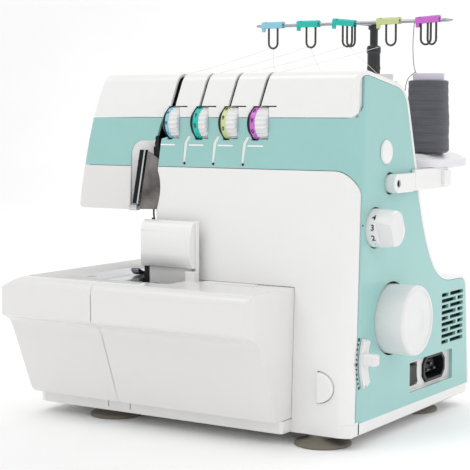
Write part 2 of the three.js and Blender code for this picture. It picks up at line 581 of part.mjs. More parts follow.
// ---------------------------------------------------------------- spool stand and thread guides
function makeThreadStand() {
  // Two side arms and a cross bar behind the tower.
  const armOutline = new THREE.Shape();
  armOutline.absarc(ARM_HUB.y, ARM_HUB.z, 7.4, Math.PI / 2, 1.5 * Math.PI);
  armOutline.lineTo(118, 192.6);
  armOutline.lineTo(132, 194.5);
  armOutline.lineTo(160, 194.5);
  armOutline.lineTo(160, 207.4);
  const arm = prism("x", armOutline, 0.8, 7.5, 6);
  const hub = rod("x", ARM_HUB.y, ARM_HUB.z, -10, 1, 7, 16);
  const screwHole = rod("x", ARM_HUB.y, ARM_HUB.z, 3, 20, 2.2, 10);
  const bar = box(-255, 7.5, 146, 160, 194.5, 207.5);
  const leftHub = rod("x", 70, ARM_HUB.z, -272, -268.8, 6.5, 16);
  const leftArm = join(box(-272, -254, 70, 160, 194.5, 207.5), leftHub);
  const headRoom = box(-269, -240, 0, 122, 180, 220);
  add("stand_frame", join(cut(join(arm, hub), screwHole), bar, cut(leftArm, headRoom)), WHITE);

  // The tray: a thin rim that swells towards its middle, with four spool pins and the mast's socket.
  const ring = (x0, x1, y0, y1, z, corner) => [
    [x0 + corner, y0, z], [x1 - corner, y0, z], [x1, y0 + corner, z], [x1, y1 - corner, z],
    [x1 - corner, y1, z], [x0 + corner, y1, z], [x0, y1 - corner, z], [x0, y0 + corner, z],
  ];
  const levels = [
    ...ring(-176, 2, 132, 196, 207.8, 12), ...ring(-186, 13, 122, 207, 210.5, 20),
    ...ring(-186, 13, 122, 207, 214, 20), ...ring(-180, 7, 130, 198, 221, 16),
  ];
  const tray = toSolid(new ConvexGeometry(levels.map((p) => new THREE.Vector3(...p))));
  const pins = SPOOL.xs.map((x) => rod("z", x, SPOOL.y, 220, 278, 3, 10, 2.2));
  add("spool_tray", join(cut(tray, rod("z", POLE.x, POLE.y, 200, 240, 6.4, 16)), ...pins), LIGHT_GREY);

  SPOOL.xs.forEach((x, i) => {
    const { y, z, radius, height } = SPOOL;
    const top = z + height;
    const outline = [
      [4.2, z], [radius, z], [radius + 0.6, z + 18], [radius - 0.7, top],
      [14, top + 0.4], [14, top + 5.5], [4.2, top + 5.5], [4.2, z],
    ];
    add(`thread_spool_${i + 1}`, turned("z", x, y, outline, 20), i ? THREAD_WHITE : THREAD_GREY);
  });

  // Telescopic mast: the outer tube stands in the tray, the inner one carries the guides.
  const tube = [[4, 208.3], [5.7, 208.3], [5.7, 317], [6.5, 317.6], [6.5, 322], [4, 322], [4, 208.3]];
  add("mast_outer", turned("z", POLE.x, POLE.y, tube, 16), BLACK);
  add("mast_inner", rod("z", POLE.x, POLE.y, 214, 327.5, 3.6, 14), BLACK);

  // Two parallel wires with round ends, and a stem from them to the mast.
  const { y: frontY, left, right, spacing } = GUIDE_FRAME;
  const bars = [
    rod("x", frontY, GUIDE_Z, left, right, 1.1, 8),
    rod("x", frontY + spacing, GUIDE_Z, left, right, 1.1, 8),
    rod("y", GUIDE_Z, POLE.x, frontY, POLE.y, 1.5, 8),
  ];
  for (const [x, outwards] of [[left, -1], [right, 1]]) {
    const bend = [];
    for (let angle = -90; angle <= 90; angle += 30) {
      const turn = THREE.MathUtils.degToRad(angle);
      const reach = (outwards * Math.cos(turn) * spacing) / 2;
      bend.push([x + reach, frontY + ((1 + Math.sin(turn)) * spacing) / 2, GUIDE_Z]);
    }
    bars.push(wire(through(bend), 1.1, 8, 8));
  }
  for (const x of [...CLIP_XS, CLIP_XS[2] + 7, CLIP_XS[4] + 7]) {
    const bottom = [[-3.4, 312.6], [0, 311], [3.4, 312.6]];
    const hook = [[-4.8, GUIDE_Z], [-4.8, 317], ...bottom, [4.8, 317], [4.8, GUIDE_Z]];
    bars.push(wire(through(hook.map(([dx, z]) => [x + dx, frontY, z])), 0.9, 10, 6));
  }
  const collar = rod("z", POLE.x, POLE.y, GUIDE_Z - 3, GUIDE_Z + 3, 5, 12);
  add("thread_guide_wire", join(...bars, collar), CHROME);

  // The thread that runs up from the first spool to the clip above it.
  const strand = [
    [SPOOL.xs[0] - 18.2, SPOOL.y - 3, SPOOL.z + 40],
    [SPOOL.xs[0] - 18.6, SPOOL.y - 2.4, 286],
    [-34, 149, 309.4],
  ];
  add("grey_thread", wire(through(strand), 0.35, 12, 6), THREAD_GREY);
  CLIP_XS.forEach((x, i) => {
    const section = [[146.6, 327.6], [146.6, 333], [148, 334.6], [152, 334.6], [153.4, 333], [153.4, 327.6]];
    const block = prism("x", section, x - 10.5, x + 10.5);
    const tooth = box(x - 9, x - 6.6, 147, 149, 324.5, 328);
    const stemRoom = box(POLE.x - 2, POLE.x + 2, 150, 160, GUIDE_Z - 2, GUIDE_Z + 2);
    const wireRoom = box(x - 30, x + 30, 148.4, 151.6, GUIDE_Z - 1.5, GUIDE_Z + 1.5);
    const room = join(wireRoom, stemRoom, box(x - 6.2, x + 13.4, 148.6, 151.4, 300, GUIDE_Z + 1.4));
    add(`guide_clip_${i + 1}`, cut(join(block, tooth), room), finish(CLIP_COLOURS[i], 0.4));
  });
}

// ---------------------------------------------------------------- frame, drive shaft and motor
function makeDrive() {
  const rail = box(-170, -12, 24, 44, 25, 33);
  const shaftRoom = rod("x", WHEEL.y, WHEEL.z, -400, 50, 5.6, 14);
  const bearings = [-150, -40].map((x) => cut(box(x - 5, x + 5, 40, 92, 24, 106), shaftRoom));
  const crossFoot = box(-170, -12, 40, 52, 24, 33);
  const column = box(-150, -138, 26, 44, 30, 200);
  add("main_frame", join(rail, crossFoot, column, ...bearings), CASTING);

  // A flanged pulley whose groove has the given radius.
  const pulleyProfile = (radius, flange) => [
    [0, -30], [flange, -30], [radius, -27.5], [radius, -24.5], [flange, -22], [0, -22],
  ];
  const shaft = rod("x", WHEEL.y, WHEEL.z, -165, 1.6, 5, 14);
  add("main_shaft", join(shaft, turned("x", WHEEL.y, WHEEL.z, pulleyProfile(22, 24), 24)), STEEL);
  const motorFoot = box(-120, -60, MOTOR.y - 18, MOTOR.y + 18, 22, 50);
  add("motor", join(rod("x", MOTOR.y, MOTOR.z, -130, -50, 24, 20), motorFoot), BLACK);
  const motorShaft = rod("x", MOTOR.y, MOTOR.z, -49.6, -20, 3, 12);
  add("motor_pulley", join(motorShaft, turned("x", MOTOR.y, MOTOR.z, pulleyProfile(6.6, 8), 16)), STEEL);

  // Flat belt around both pulleys, with a running clearance.
  const belt = (big, small) => {
    const dy = MOTOR.y - WHEEL.y;
    const dz = MOTOR.z - WHEEL.z;
    const turn = Math.atan2(dz, dy);
    const spread = Math.acos((big - small) / Math.hypot(dy, dz));
    const shape = new THREE.Shape();
    shape.absarc(WHEEL.y, WHEEL.z, big, turn + spread, turn - spread + 2 * Math.PI);
    shape.absarc(MOTOR.y, MOTOR.z, small, turn - spread, turn + spread);
    return prism("x", shape, -27.2, -24.8, 10);
  };
  add("drive_belt", cut(belt(24.6, 9.2), belt(22.6, 7.2)), BLACK);
}

makeCasing();
makeBase();
makeCovers();
makeControls();
makeTensionDials();
makeSewingParts();
makeGuard();
makeThreadStand();
makeDrive();

machine.position.set(-(LEFT + RIGHT) / 2, -(FRONT + REAR) / 2, 0);
export default machine;
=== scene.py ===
"""Looks for the serger: visible shells, controls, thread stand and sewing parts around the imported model.

Every shape is made in millimetres in the workshop axes: x = 0 on the outer face of the right side
panel, y = 0 at the foot of the front plate, z = 0 on the table. deliver() moves it into the frame.
"""

import math

import bmesh
import bpy
from mathutils import Matrix, Vector


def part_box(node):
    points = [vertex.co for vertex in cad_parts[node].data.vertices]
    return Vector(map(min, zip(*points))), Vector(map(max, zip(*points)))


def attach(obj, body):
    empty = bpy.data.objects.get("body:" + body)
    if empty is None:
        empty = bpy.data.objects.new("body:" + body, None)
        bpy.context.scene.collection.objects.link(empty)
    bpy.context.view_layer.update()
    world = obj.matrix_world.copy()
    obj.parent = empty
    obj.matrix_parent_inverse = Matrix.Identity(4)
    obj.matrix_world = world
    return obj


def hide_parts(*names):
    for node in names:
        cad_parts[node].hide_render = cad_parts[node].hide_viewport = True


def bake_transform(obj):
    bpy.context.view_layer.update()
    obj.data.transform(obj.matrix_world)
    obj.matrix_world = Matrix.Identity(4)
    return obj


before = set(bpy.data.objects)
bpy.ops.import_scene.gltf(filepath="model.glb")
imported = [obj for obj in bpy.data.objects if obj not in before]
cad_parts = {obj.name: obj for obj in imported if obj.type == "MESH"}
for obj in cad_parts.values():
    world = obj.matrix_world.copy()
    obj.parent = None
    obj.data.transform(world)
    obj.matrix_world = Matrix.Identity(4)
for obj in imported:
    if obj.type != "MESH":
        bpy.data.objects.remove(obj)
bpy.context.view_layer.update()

MM = 0.001
CASE_DEPTH = 218 * MM
ORIGIN = Vector((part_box("side_panel")[1].x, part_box("base_tray")[1].y - CASE_DEPTH, 0))

# ---------------------------------------------------------------- driving dimensions, in mm
FAR = 400  # well outside the machine
LEAN = 0.042  # the front plate leans back by this much for each mm of height
TOWER_LEFT = -184
# The left end of the sewing head curves in: the x of its face at each height z.
HEAD_LEFTS = [(-20, -269), (175, -267.2), (193, -265.2), (211, -262.2), (232, -258.2), (251, -253.7),
              (269.4, -247.2), (288, -239.5), (320, -225)]
HEAD_BOTTOM = 175
BAND_BOTTOM = 211
BAND_TOP = 251
CREASE = 262  # where the front plate bends back towards the top
TOP_COVER_BACK = 84
RIM_TOP = 18.8
WALL = 2.6
SEAM = 0.2
CORNER = 12
HEAD_CORNER = 3.5
RIM = 3.6  # the white edge that frames the side panel
WRAP_X = -1.06  # where the white front ends beside the mint shell's corner
BASE_LEFT = -297
BED_TOP = 121
BED_BOTTOM = BED_TOP - 3
BED_LEFT = -279
BED_FRONT = -46
COVER_RIGHT = -52
POCKET_FRONT = -31  # the front of the knives' opening
EXTENSION_LEFT = -296
SEAM_X = -201  # between the bed extension and the looper cover
DIAL_XS = [-174 + 27 * i for i in range(4)]
DIAL_AXIS = (18, 246.5)
DIAL_RADIUS = 13.8
DIAL_ENDS = [10.2, 11.2, 12.6, 13.8]  # right ends of the grips, from each dial's x
DIAL_BANDS = [3.4, 5.6, 4.6, 4.8]  # widths of the coloured bands
DIAL_NAMES = ["blue", "teal", "lime", "purple"]
THREAD_SLANT = 0.26
SLOT_FIRST_X = -173.4
SLOT_PITCH = 28
GROOVE_FIRST_X = -160.2
LIP_FIRST_X = -182.1
WHEEL = (65.5, 93.5)
LENGTH_DIAL = (36.5, 167)
FEED_LEVER = (54.5, 65)
FEED_REACH = 40
SIDE_CAP = (54, 224.5)
ARM_HUB = (60, 200)
MAST = (-82, 190)
SPOOL_Y = 150
SPOOL_XS = [-10, -57, -111, -158]
SPOOL_Z = 222.5
GUIDE_Z = 331
CLIP_XS = [-163, -125, -88, -49, -11]
NEEDLE = (-193, 24)
PRESSER = (-193, 44)
LIFTER_AXIS = (204, -193)  # as (z, x)
FEED_XS = (-199, -193, -187)
GUARD_LEFT = -189
GUARD_RIGHT = -139
CAMERA_AZIMUTH = 33
CAMERA_ELEVATION = 5


def lean(z):
    """How far the front plate has leaned back at height z."""
    return LEAN * (z - 9)


# ---------------------------------------------------------------- outlines
def path(start, *moves, steps=10):
    """Points of a line drawing: a move is (end,), (control, end) or (control, control, end)."""
    points = [Vector(start)]
    for move in moves:
        anchors = [points[-1], *map(Vector, move)]
        count = 1 if len(move) == 1 else steps
        for i in range(1, count + 1):
            level, t = anchors, i / count
            while len(level) > 1:
                level = [a.lerp(b, t) for a, b in zip(level, level[1:])]
            points.append(level[0])
    return [tuple(p) for p in points]


def rounded(corners, radii, steps=8):
    """A polygon whose corners are rounded; radii is one number or one for each corner."""
    if not hasattr(radii, "__len__"):
        radii = [radii] * len(corners)
    points = []
    for i, radius in enumerate(radii):
        here = Vector(corners[i])
        if not radius:
            points.append(tuple(here))
            continue
        to_last = (Vector(corners[i - 1]) - here).normalized()
        to_next = (Vector(corners[(i + 1) % len(corners)]) - here).normalized()
        half = to_last.angle(to_next) / 2
        centre = here + (to_last + to_next).normalized() * (radius / math.sin(half))
        first = here + to_last * (radius / math.tan(half)) - centre
        last = here + to_next * (radius / math.tan(half)) - centre
        turn = first.angle_signed(last)
        for k in range(steps + 1):
            points.append(tuple(centre + Matrix.Rotation(-turn * k / steps, 2) @ first))
    return points


def box_outline(u0, u1, v0, v1):
    return [(u0, v0), (u1, v0), (u1, v1), (u0, v1)]


def inset(outline, distance):
    """The outline moved inwards; it runs clockwise."""
    moved = []
    for i, here in enumerate(outline):
        last, following = outline[i - 1], outline[(i + 1) % len(outline)]
        before = Vector((here[1] - last[1], last[0] - here[0])).normalized()
        after = Vector((following[1] - here[1], here[0] - following[0])).normalized()
        mitre = (before + after).normalized()
        reach = distance / mitre.dot(before)
        moved.append((here[0] + mitre.x * reach, here[1] + mitre.y * reach))
    return moved


# ---------------------------------------------------------------- solids, in mm
BASES = {"x": (1, 2, 0), "y": (2, 0, 1), "z": (0, 1, 2)}


def placed(axis, u, v, w):
    """The point whose two outline coordinates are u, v and whose place along the axis is w."""
    point = [0, 0, 0]
    for index, value in zip(BASES[axis], (u, v, w)):
        point[index] = value
    return tuple(point)


def solid(points, faces):
    """An object of these faces, with doubled points merged and every face outwards."""
    mesh = bpy.data.meshes.new("solid")
    mesh.from_pydata(points, [], faces)
    work = bmesh.new()
    work.from_mesh(mesh)
    bmesh.ops.remove_doubles(work, verts=work.verts, dist=1e-5)
    bmesh.ops.recalc_face_normals(work, faces=work.faces)
    work.to_mesh(mesh)
    work.free()
    made = bpy.data.objects.new("solid", mesh)
    bpy.context.scene.collection.objects.link(made)
    return made


def loft(rings, closed=False):
    """A skin over rings of equally many points, with flat ends unless it closes on itself."""
    count = len(rings[0])
    points = [p for ring in rings for p in ring]
    faces = []
    last = len(rings) if closed else len(rings) - 1
    for r in range(last):
        a, b = r * count, ((r + 1) % len(rings)) * count
        for i in range(count):
            j = (i + 1) % count
            faces.append((a + i, a + j, b + j, b + i))
    if not closed:
        faces.append(tuple(range(count)))
        faces.append(tuple(range(last * count, (last + 1) * count)))
    return solid(points, faces)


def prism(axis, outline, start, end):
    return loft([[placed(axis, u, v, w) for u, v in outline] for w in (start, end)])


def block(x0, x1, y0, y1, z0, z1, radius=0, segments=3):
    made = prism("z", box_outline(x0, x1, y0, y1), z0, z1)
    return soften(made, radius, segments) if radius else made


def turned(axis, centre, profile, sides=64):
    """Turned about an axis: the profile is (radius, place along the axis), from the axis to the axis
    or closed on itself."""
    on_axis = profile[0][0] == 0
    rings = []
    for radius, w in profile:
        ring = []
        for i in range(sides):
            angle = 2 * math.pi * i / sides
            u, v = centre[0] + radius * math.cos(angle), centre[1] + radius * math.sin(angle)
            ring.append(placed(axis, u, v, w))
        rings.append(ring)
    points = [p for ring in rings for p in ring]
    faces = []
    for r in range(len(rings) - (1 if on_axis else 0)):
        a, b = r * sides, ((r + 1) % len(rings)) * sides
        for i in range(sides):
            j = (i + 1) % sides
            quad = (a + i, a + j, b + j, b + i)
            faces.append(quad)
    made = solid(points, faces)
    tidy(made)
    return made


def tidy(made):
    """Drops the faces without area that a profile's ends on the axis leave."""
    work = bmesh.new()
    work.from_mesh(made.data)
    bmesh.ops.dissolve_degenerate(work, dist=1e-4, edges=work.edges)
    bmesh.ops.recalc_face_normals(work, faces=work.faces)
    work.to_mesh(made.data)
    work.free()


def sweep(points, radius, sides=10, closed=False):
    """A round wire through the points."""
    points = [Vector(p) for p in points]
    count = len(points)
    rings = []
    normal = None
    for i, here in enumerate(points):
        before = points[i - 1] if closed or i else here
        after = points[(i + 1) % count] if closed or i < count - 1 else here
        tangent = (after - before).normalized()
        if normal is None:
            normal = tangent.orthogonal()
        normal = (normal - tangent * normal.dot(tangent)).normalized()
        side = tangent.cross(normal)
        r = radius(i / (count - 1)) if callable(radius) else radius
        ring = []
        for k in range(sides):
            angle = 2 * math.pi * k / sides
            ring.append(tuple(here + (normal * math.cos(angle) + side * math.sin(angle)) * r))
        rings.append(ring)
    return loft(rings, closed)


def spline(points, steps=8, closed=False):
    """A smooth curve through the points."""
    points = [Vector(p) for p in points]
    count = len(points)
    made = []
    for i in range(count if closed else count - 1):
        p1, p2 = points[i], points[(i + 1) % count]
        p0 = points[i - 1] if closed or i else p1 * 2 - p2
        p3 = points[(i + 2) % count] if closed or i < count - 2 else p2 * 2 - p1
        for k in range(steps):
            t = k / steps
            made.append(0.5 * (2 * p1 + (p2 - p0) * t + (2 * p0 - 5 * p1 + 4 * p2 - p3) * t * t
                               + (3 * p1 - p0 - 3 * p2 + p3) * t * t * t))
    if not closed:
        made.append(points[-1])
    return [tuple(p) for p in made]


# ---------------------------------------------------------------- shaping
def bake(made):
    """Applies the modifiers."""
    bpy.context.view_layer.update()
    evaluated = made.evaluated_get(bpy.context.evaluated_depsgraph_get())
    mesh = bpy.data.meshes.new_from_object(evaluated)
    made.modifiers.clear()
    made.data = mesh
    return made


def combine(made, operation, tools):
    for tool in tools:
        modifier = made.modifiers.new("boolean", "BOOLEAN")
        modifier.operation = operation
        modifier.solver = "MANIFOLD"
        modifier.object = tool
        bake(made)
        bpy.data.objects.remove(tool)
    return made


def cut(made, *tools):
    return combine(made, "DIFFERENCE", tools)


def join(made, *tools):
    return combine(made, "UNION", tools)


def clip(made, *tools):
    return combine(made, "INTERSECT", tools)


def posed(made, degrees, y, z):
    """Turns the solid about the x axis, then moves it to a place."""
    turn = Matrix.Rotation(math.radians(degrees), 4, "X")
    made.data.transform(Matrix.Translation((0, y, z)) @ turn)
    return made


def copy(made):
    twin = made.copy()
    twin.data = made.data.copy()
    bpy.context.scene.collection.objects.link(twin)
    return twin


def moved(made, x=0, y=0, z=0):
    made.data.transform(Matrix.Translation((x, y, z)))
    return made


def sheared(made):
    """Leans the solid back with the front plate."""
    for vertex in made.data.vertices:
        vertex.co.y += lean(vertex.co.z)
    return made


def soften(made, width, segments=2, angle=35):
    """Rounds every edge sharper than the angle."""
    work = bmesh.new()
    work.from_mesh(made.data)
    bmesh.ops.remove_doubles(work, verts=work.verts, dist=1e-3)
    bmesh.ops.dissolve_degenerate(work, dist=1e-3, edges=work.edges)
    bmesh.ops.dissolve_limit(work, angle_limit=math.radians(0.6), verts=work.verts, edges=work.edges)
    work.to_mesh(made.data)
    work.free()
    modifier = made.modifiers.new("bevel", "BEVEL")
    modifier.width = width
    modifier.segments = segments
    modifier.limit_method = "ANGLE"
    modifier.angle_limit = math.radians(angle)
    modifier.use_clamp_overlap = True
    return bake(made)


def joined(parts):
    """Several solids as one mesh, without a boolean."""
    work = bmesh.new()
    for part in parts:
        work.from_mesh(part.data)
    mesh = bpy.data.meshes.new("joined")
    work.to_mesh(mesh)
    work.free()
    for part in parts[1:]:
        bpy.data.objects.remove(part)
    parts[0].data = mesh
    return parts[0]


def deliver(made, name, body, material, replaces=(), smooth=40):
    """Names the piece, moves it into the frame, shades it and lets it ride on its body, if it has one."""
    made.name = name
    made.data.name = name
    made.data.transform(Matrix.Translation(ORIGIN) @ Matrix.Scale(MM, 4))
    made.data.shade_smooth()
    made.data.set_sharp_from_angle(angle=math.radians(smooth))
    modifier = made.modifiers.new("normals", "WEIGHTED_NORMAL")
    modifier.keep_sharp = True
    modifier.weight = 80
    bake(made)
    made.data.materials.clear()
    made.data.materials.append(material)
    if body:
        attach(made, body)
    if replaces:
        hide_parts(*replaces)
    return made


# ---------------------------------------------------------------- materials
def linear(hexadecimal):
    values = [int(hexadecimal[i:i + 2], 16) / 255 for i in (0, 2, 4)]
    return (*[v / 12.92 if v <= 0.04045 else ((v + 0.055) / 1.055) ** 2.4 for v in values], 1)


class Finish:
    """A material under construction: the shader, its nodes and links."""

    def __init__(self, name, **sockets):
        self.material = bpy.data.materials.new(name)
        self.material.use_nodes = True
        self.nodes = self.material.node_tree.nodes
        self.links = self.material.node_tree.links
        self.shader = self.nodes["Principled BSDF"]
        for socket, value in sockets.items():
            self.shader.inputs[socket.replace("_", " ")].default_value = value
        self.coordinates = self.nodes.new("ShaderNodeTexCoord").outputs["Object"]

    def mapped(self, scale=(1, 1, 1), rotation=(0, 0, 0)):
        node = self.nodes.new("ShaderNodeMapping")
        node.inputs["Scale"].default_value = scale
        node.inputs["Rotation"].default_value = rotation
        self.links.new(self.coordinates, node.inputs["Vector"])
        return node.outputs["Vector"]

    def noise(self, scale, detail=3, roughness=0.5, vector=None):
        node = self.nodes.new("ShaderNodeTexNoise")
        node.inputs["Scale"].default_value = scale
        node.inputs["Detail"].default_value = detail
        node.inputs["Roughness"].default_value = roughness
        self.links.new(vector or self.coordinates, node.inputs["Vector"])
        return node.outputs["Fac"]

    def wave(self, scale, direction, distortion=0.0, vector=None):
        node = self.nodes.new("ShaderNodeTexWave")
        node.bands_direction = direction
        node.inputs["Scale"].default_value = scale
        node.inputs["Distortion"].default_value = distortion
        self.links.new(vector or self.coordinates, node.inputs["Vector"])
        return node.outputs["Fac"]

    def ramp(self, factor, low, high, start=0.3, end=0.7):
        node = self.nodes.new("ShaderNodeMapRange")
        node.inputs["From Min"].default_value = start
        node.inputs["From Max"].default_value = end
        node.inputs["To Min"].default_value = low
        node.inputs["To Max"].default_value = high
        self.links.new(factor, node.inputs["Value"])
        return node.outputs["Result"]

    def colours(self, factor, first, second, start=0.35, end=0.65):
        node = self.nodes.new("ShaderNodeMix")
        node.data_type = "RGBA"
        node.inputs["A"].default_value = first
        node.inputs["B"].default_value = second
        self.links.new(self.ramp(factor, 0, 1, start, end), node.inputs["Factor"])
        self.links.new(node.outputs["Result"], self.shader.inputs["Base Color"])

    def roughness(self, factor, low, high):
        self.links.new(self.ramp(factor, low, high), self.shader.inputs["Roughness"])

    def bump(self, height, strength, distance):
        node = self.nodes.new("ShaderNodeBump")
        node.inputs["Strength"].default_value = strength
        node.inputs["Distance"].default_value = distance
        self.links.new(height, node.inputs["Height"])
        self.links.new(node.outputs["Normal"], self.shader.inputs["Normal"])


def shade(colour, factor):
    return (*[min(1, c * factor) for c in colour[:3]], 1)


def moulded(name, hexadecimal, low=0.22, high=0.32, grain=0.05, coat=0.25, variation=0.97, ior=1.5):
    """Injection-moulded plastic: faint mottling, uneven gloss and a very fine grain."""
    finish = Finish(name, Coat_Weight=coat, Coat_Roughness=0.12, IOR=ior)
    colour = linear(hexadecimal)
    finish.colours(finish.noise(35, 4), shade(colour, variation), shade(colour, 1.01))
    finish.roughness(finish.noise(60, 5, 0.6), low, high)
    finish.bump(finish.noise(900, 3), grain, 0.0001)
    return finish.material


def brushed(name, hexadecimal, scale, low=0.18, high=0.34, anisotropic=0.4, variation=0.9):
    """Ground or brushed metal: streaks along one direction and small stains."""
    finish = Finish(name, Metallic=1.0, Anisotropic=anisotropic)
    colour = linear(hexadecimal)
    streaks = finish.noise(1, 5, 0.7, finish.mapped(scale))
    finish.colours(finish.noise(45, 5), shade(colour, variation), colour)
    finish.roughness(streaks, low, high)
    finish.bump(streaks, 0.12, 0.00005)
    return finish.material


def wound(name, hexadecimal, dark=0.7):
    """Thread wound in crossing layers."""
    finish = Finish(name, Anisotropic=0.5, Sheen_Weight=0.08)
    colour = linear(hexadecimal)
    strands = finish.wave(900, "Z", 0.6)
    layers = finish.noise(1, 4, 0.6, finish.mapped((24, 24, 420)))
    finish.colours(layers, shade(colour, dark), shade(colour, 1.12), 0.3, 0.72)
    finish.roughness(finish.noise(300, 4), 0.34, 0.5)
    finish.bump(strands, 0.5, 0.0002)
    return finish.material


def frosted(name, hexadecimal):
    """Translucent moulded plastic."""
    finish = Finish(name, IOR=1.46, Subsurface_Weight=0.35, Subsurface_Scale=0.004)
    colour = linear(hexadecimal)
    finish.colours(finish.noise(30, 3), shade(colour, 0.97), colour)
    finish.roughness(finish.noise(70, 4), 0.28, 0.4)
    finish.bump(finish.noise(700, 3), 0.06, 0.0001)
    return finish.material


WHITE = moulded("glossy white plastic", "F1F1F0", 0.24, 0.27, 0.01, variation=0.998)
# A darker copy of the glossy white: painted shade for the head shell, the looper cover and the bed extension.
PAINTED_SHADE_WHITE = moulded("white plastic darkened as painted shade", "E8E7E6", 0.24, 0.26, 0.005, variation=1.004)
MINT = moulded("glossy mint plastic", "9DCDC9", 0.24, 0.27, 0.01, variation=0.99)
CONTROL_WHITE = moulded("satin white plastic", "E9E9E9", 0.3, 0.4, 0.06, 0.1, 0.99)
PALE_GREY = moulded("pale grey plastic", "EAE7E7", 0.3, 0.45, 0.1, 0.1)
# The bed top is a pale grey, darker than the white shells.
BED_GREY = moulded("pale grey bed", "D0CFCD", 0.4, 0.5, 0.15, 0.1)
BLACK = moulded("black plastic", "16171A", 0.35, 0.5, 0.2, 0.0, 0.8)
# Near black: painted shade in gaps, holes and behind openings, and the stand screw's own colour.
DARK = moulded("near black for painted shade and the stand screw", "0D0D0F", 0.6, 0.8, 0.2, 0.0, 0.8)
# White for the painted highlight on the lips under the dial windows.
LIP_HIGHLIGHT_WHITE = moulded("white painted lip highlight", "FAFAF8", 0.4, 0.5, 0.02, 0.0, 0.97)
INK_BLUE = moulded("blue black plastic", "10111A", 0.35, 0.45, 0.02, 0.0, 0.8, 1.3)
MAST_BLACK = moulded("black mast plastic", "1B1C22", 0.12, 0.22, 0.05, 0.6, 0.8)
MOTOR_BLACK = moulded("painted motor housing", "202226", 0.4, 0.55, 0.5, 0.0, 0.7)
PRINT = moulded("printed ink", "2A2C30", 0.5, 0.6, 0.05, 0.0, 0.9)
RUBBER = moulded("grey rubber", "7D776C", 0.6, 0.85, 0.4, 0.0, 0.85)
BELT = moulded("belt rubber", "17171A", 0.6, 0.8, 0.4, 0.0, 0.85)
DIAL_COLOURS = {
    "blue": moulded("light blue plastic", "8CCDE2", 0.25, 0.35),
    "teal": moulded("teal plastic", "10C0B4", 0.25, 0.35),
    "lime": moulded("lime plastic", "CDDA96", 0.25, 0.35),
    "purple": moulded("purple plastic", "CB6ACE", 0.25, 0.35),
}
PLATE_STEEL = brushed("ground steel plate", "C9CBCE", (60, 1400, 60))
BAR_STEEL = brushed("turned steel", "B4B7BB", (900, 900, 40), 0.15, 0.28)
CHROME = brushed("bright chrome", "DADCDF", (300, 300, 300), 0.05, 0.12, 0.0)
CASTING = brushed("cast aluminium", "9C9FA3", (220, 220, 220), 0.4, 0.6, 0.0)
SMOKED_STEEL = brushed("smoked steel sheet", "85817F", (90, 90, 30), 0.12, 0.3, 0.3, 0.35)
LOOP_STEEL = brushed("dark spring steel", "5B5A58", (300, 300, 60), 0.15, 0.3, 0.2)
CHROME_DARK = brushed("polished foot steel", "A8ACB2", (200, 200, 60), 0.05, 0.16, 0.0, 0.25)
GREY_THREAD = wound("grey thread", "56575F")
WHITE_THREAD = wound("white thread", "E8E8E6", 0.9)
TRAY_PLASTIC = frosted("frosted grey plastic", "E9EAEE")
CORE_PLASTIC = frosted("frosted lavender plastic", "CFCFDD")
COIL_COPPER = brushed("copper winding", "B0714A", (50, 50, 1500), 0.3, 0.5)


# ---------------------------------------------------------------- casing
def case_outline():
    """Side view of the casing as (y, z), clockwise from the foot of the front plate."""
    return path(
        (lean(RIM_TOP), RIM_TOP), [(lean(CREASE), CREASE)], [(12.6, 277)],
        [(13.4, 288), (26, 286.2)], [(74, 278)], [(89, 275), (94, 261)], [(111, 203)],
        [(119, 176), (128, 151), (141, 134)], [(154, 117), (176, 116.5)], [(198, 116)],
        [(209, 115.5), (211, 104)], [(217.5, RIM_TOP)],
    )


OUTLINE = case_outline()


def case_plan(margin, z, left):
    """The casing's rounded plan at a height: its front leans back and its left end curves in."""
    left += margin
    corners = [(left, lean(z) + margin), (-margin, lean(z) + margin), (-margin, FAR), (left, FAR)]
    return [(x, y, z) for x, y in rounded(corners, [HEAD_CORNER, CORNER - margin, 0, 0], 12)]


def case_solid(margin):
    """The casing as one solid, drawn in by the margin: the tower and the head with its curved end."""
    outline = inset(OUTLINE, margin) if margin else OUTLINE
    if margin:
        outline = [(y, z if z > RIM_TOP + 3 else RIM_TOP - 9) for y, z in outline]
    tower = prism("x", outline, TOWER_LEFT + margin, -margin)
    head = prism("x", outline, -290, TOWER_LEFT + margin + 1)
    low = HEAD_BOTTOM + margin
    corner = [(low, HEAD_LEFTS[1][1] + margin), (HEAD_LEFTS[2][0], HEAD_LEFTS[2][1] + margin - 0.1),
              (FAR, -300), (FAR, -100), (low, -100)]
    clip(head, prism("y", rounded(corner, [6, 0, 0, 0, 0]), -50, 300))
    join(tower, head)
    return clip(tower, loft([case_plan(margin, z, left) for z, left in HEAD_LEFTS]))


def notch(margin=0):
    """The needle recess: its right edge leans with the thread path under the first dial."""
    left, right, top = -212 - margin, TOWER_LEFT - 0.3 + margin, 232 + margin
    corners = [(160, left), (top, left), (top, right), (160, right)]
    return prism("y", rounded(corners, [0, 12 + margin, 0, 0]), -30, 52 + margin)


def front_region(x0, x1, z0, z1, radii=0, depth=9):
    """The space of a front panel: its outline seen from the front, down to a depth behind the
    leaning face. Radii are those of the lower left, upper left, upper right, lower right corner."""
    outline = rounded([(z0, x0), (z1, x0), (z1, x1), (z0, x1)], radii)
    return sheared(prism("y", outline, -40, depth))


def slanted(x, width, y0, y1, z0, z1):
    """A slot that leans to the right as it rises; x is its left edge at the bottom."""
    top = x + THREAD_SLANT * (z1 - z0)
    return prism("y", [(z0, x), (z0, x + width), (z1, top + width), (z1, top)], y0, y1)


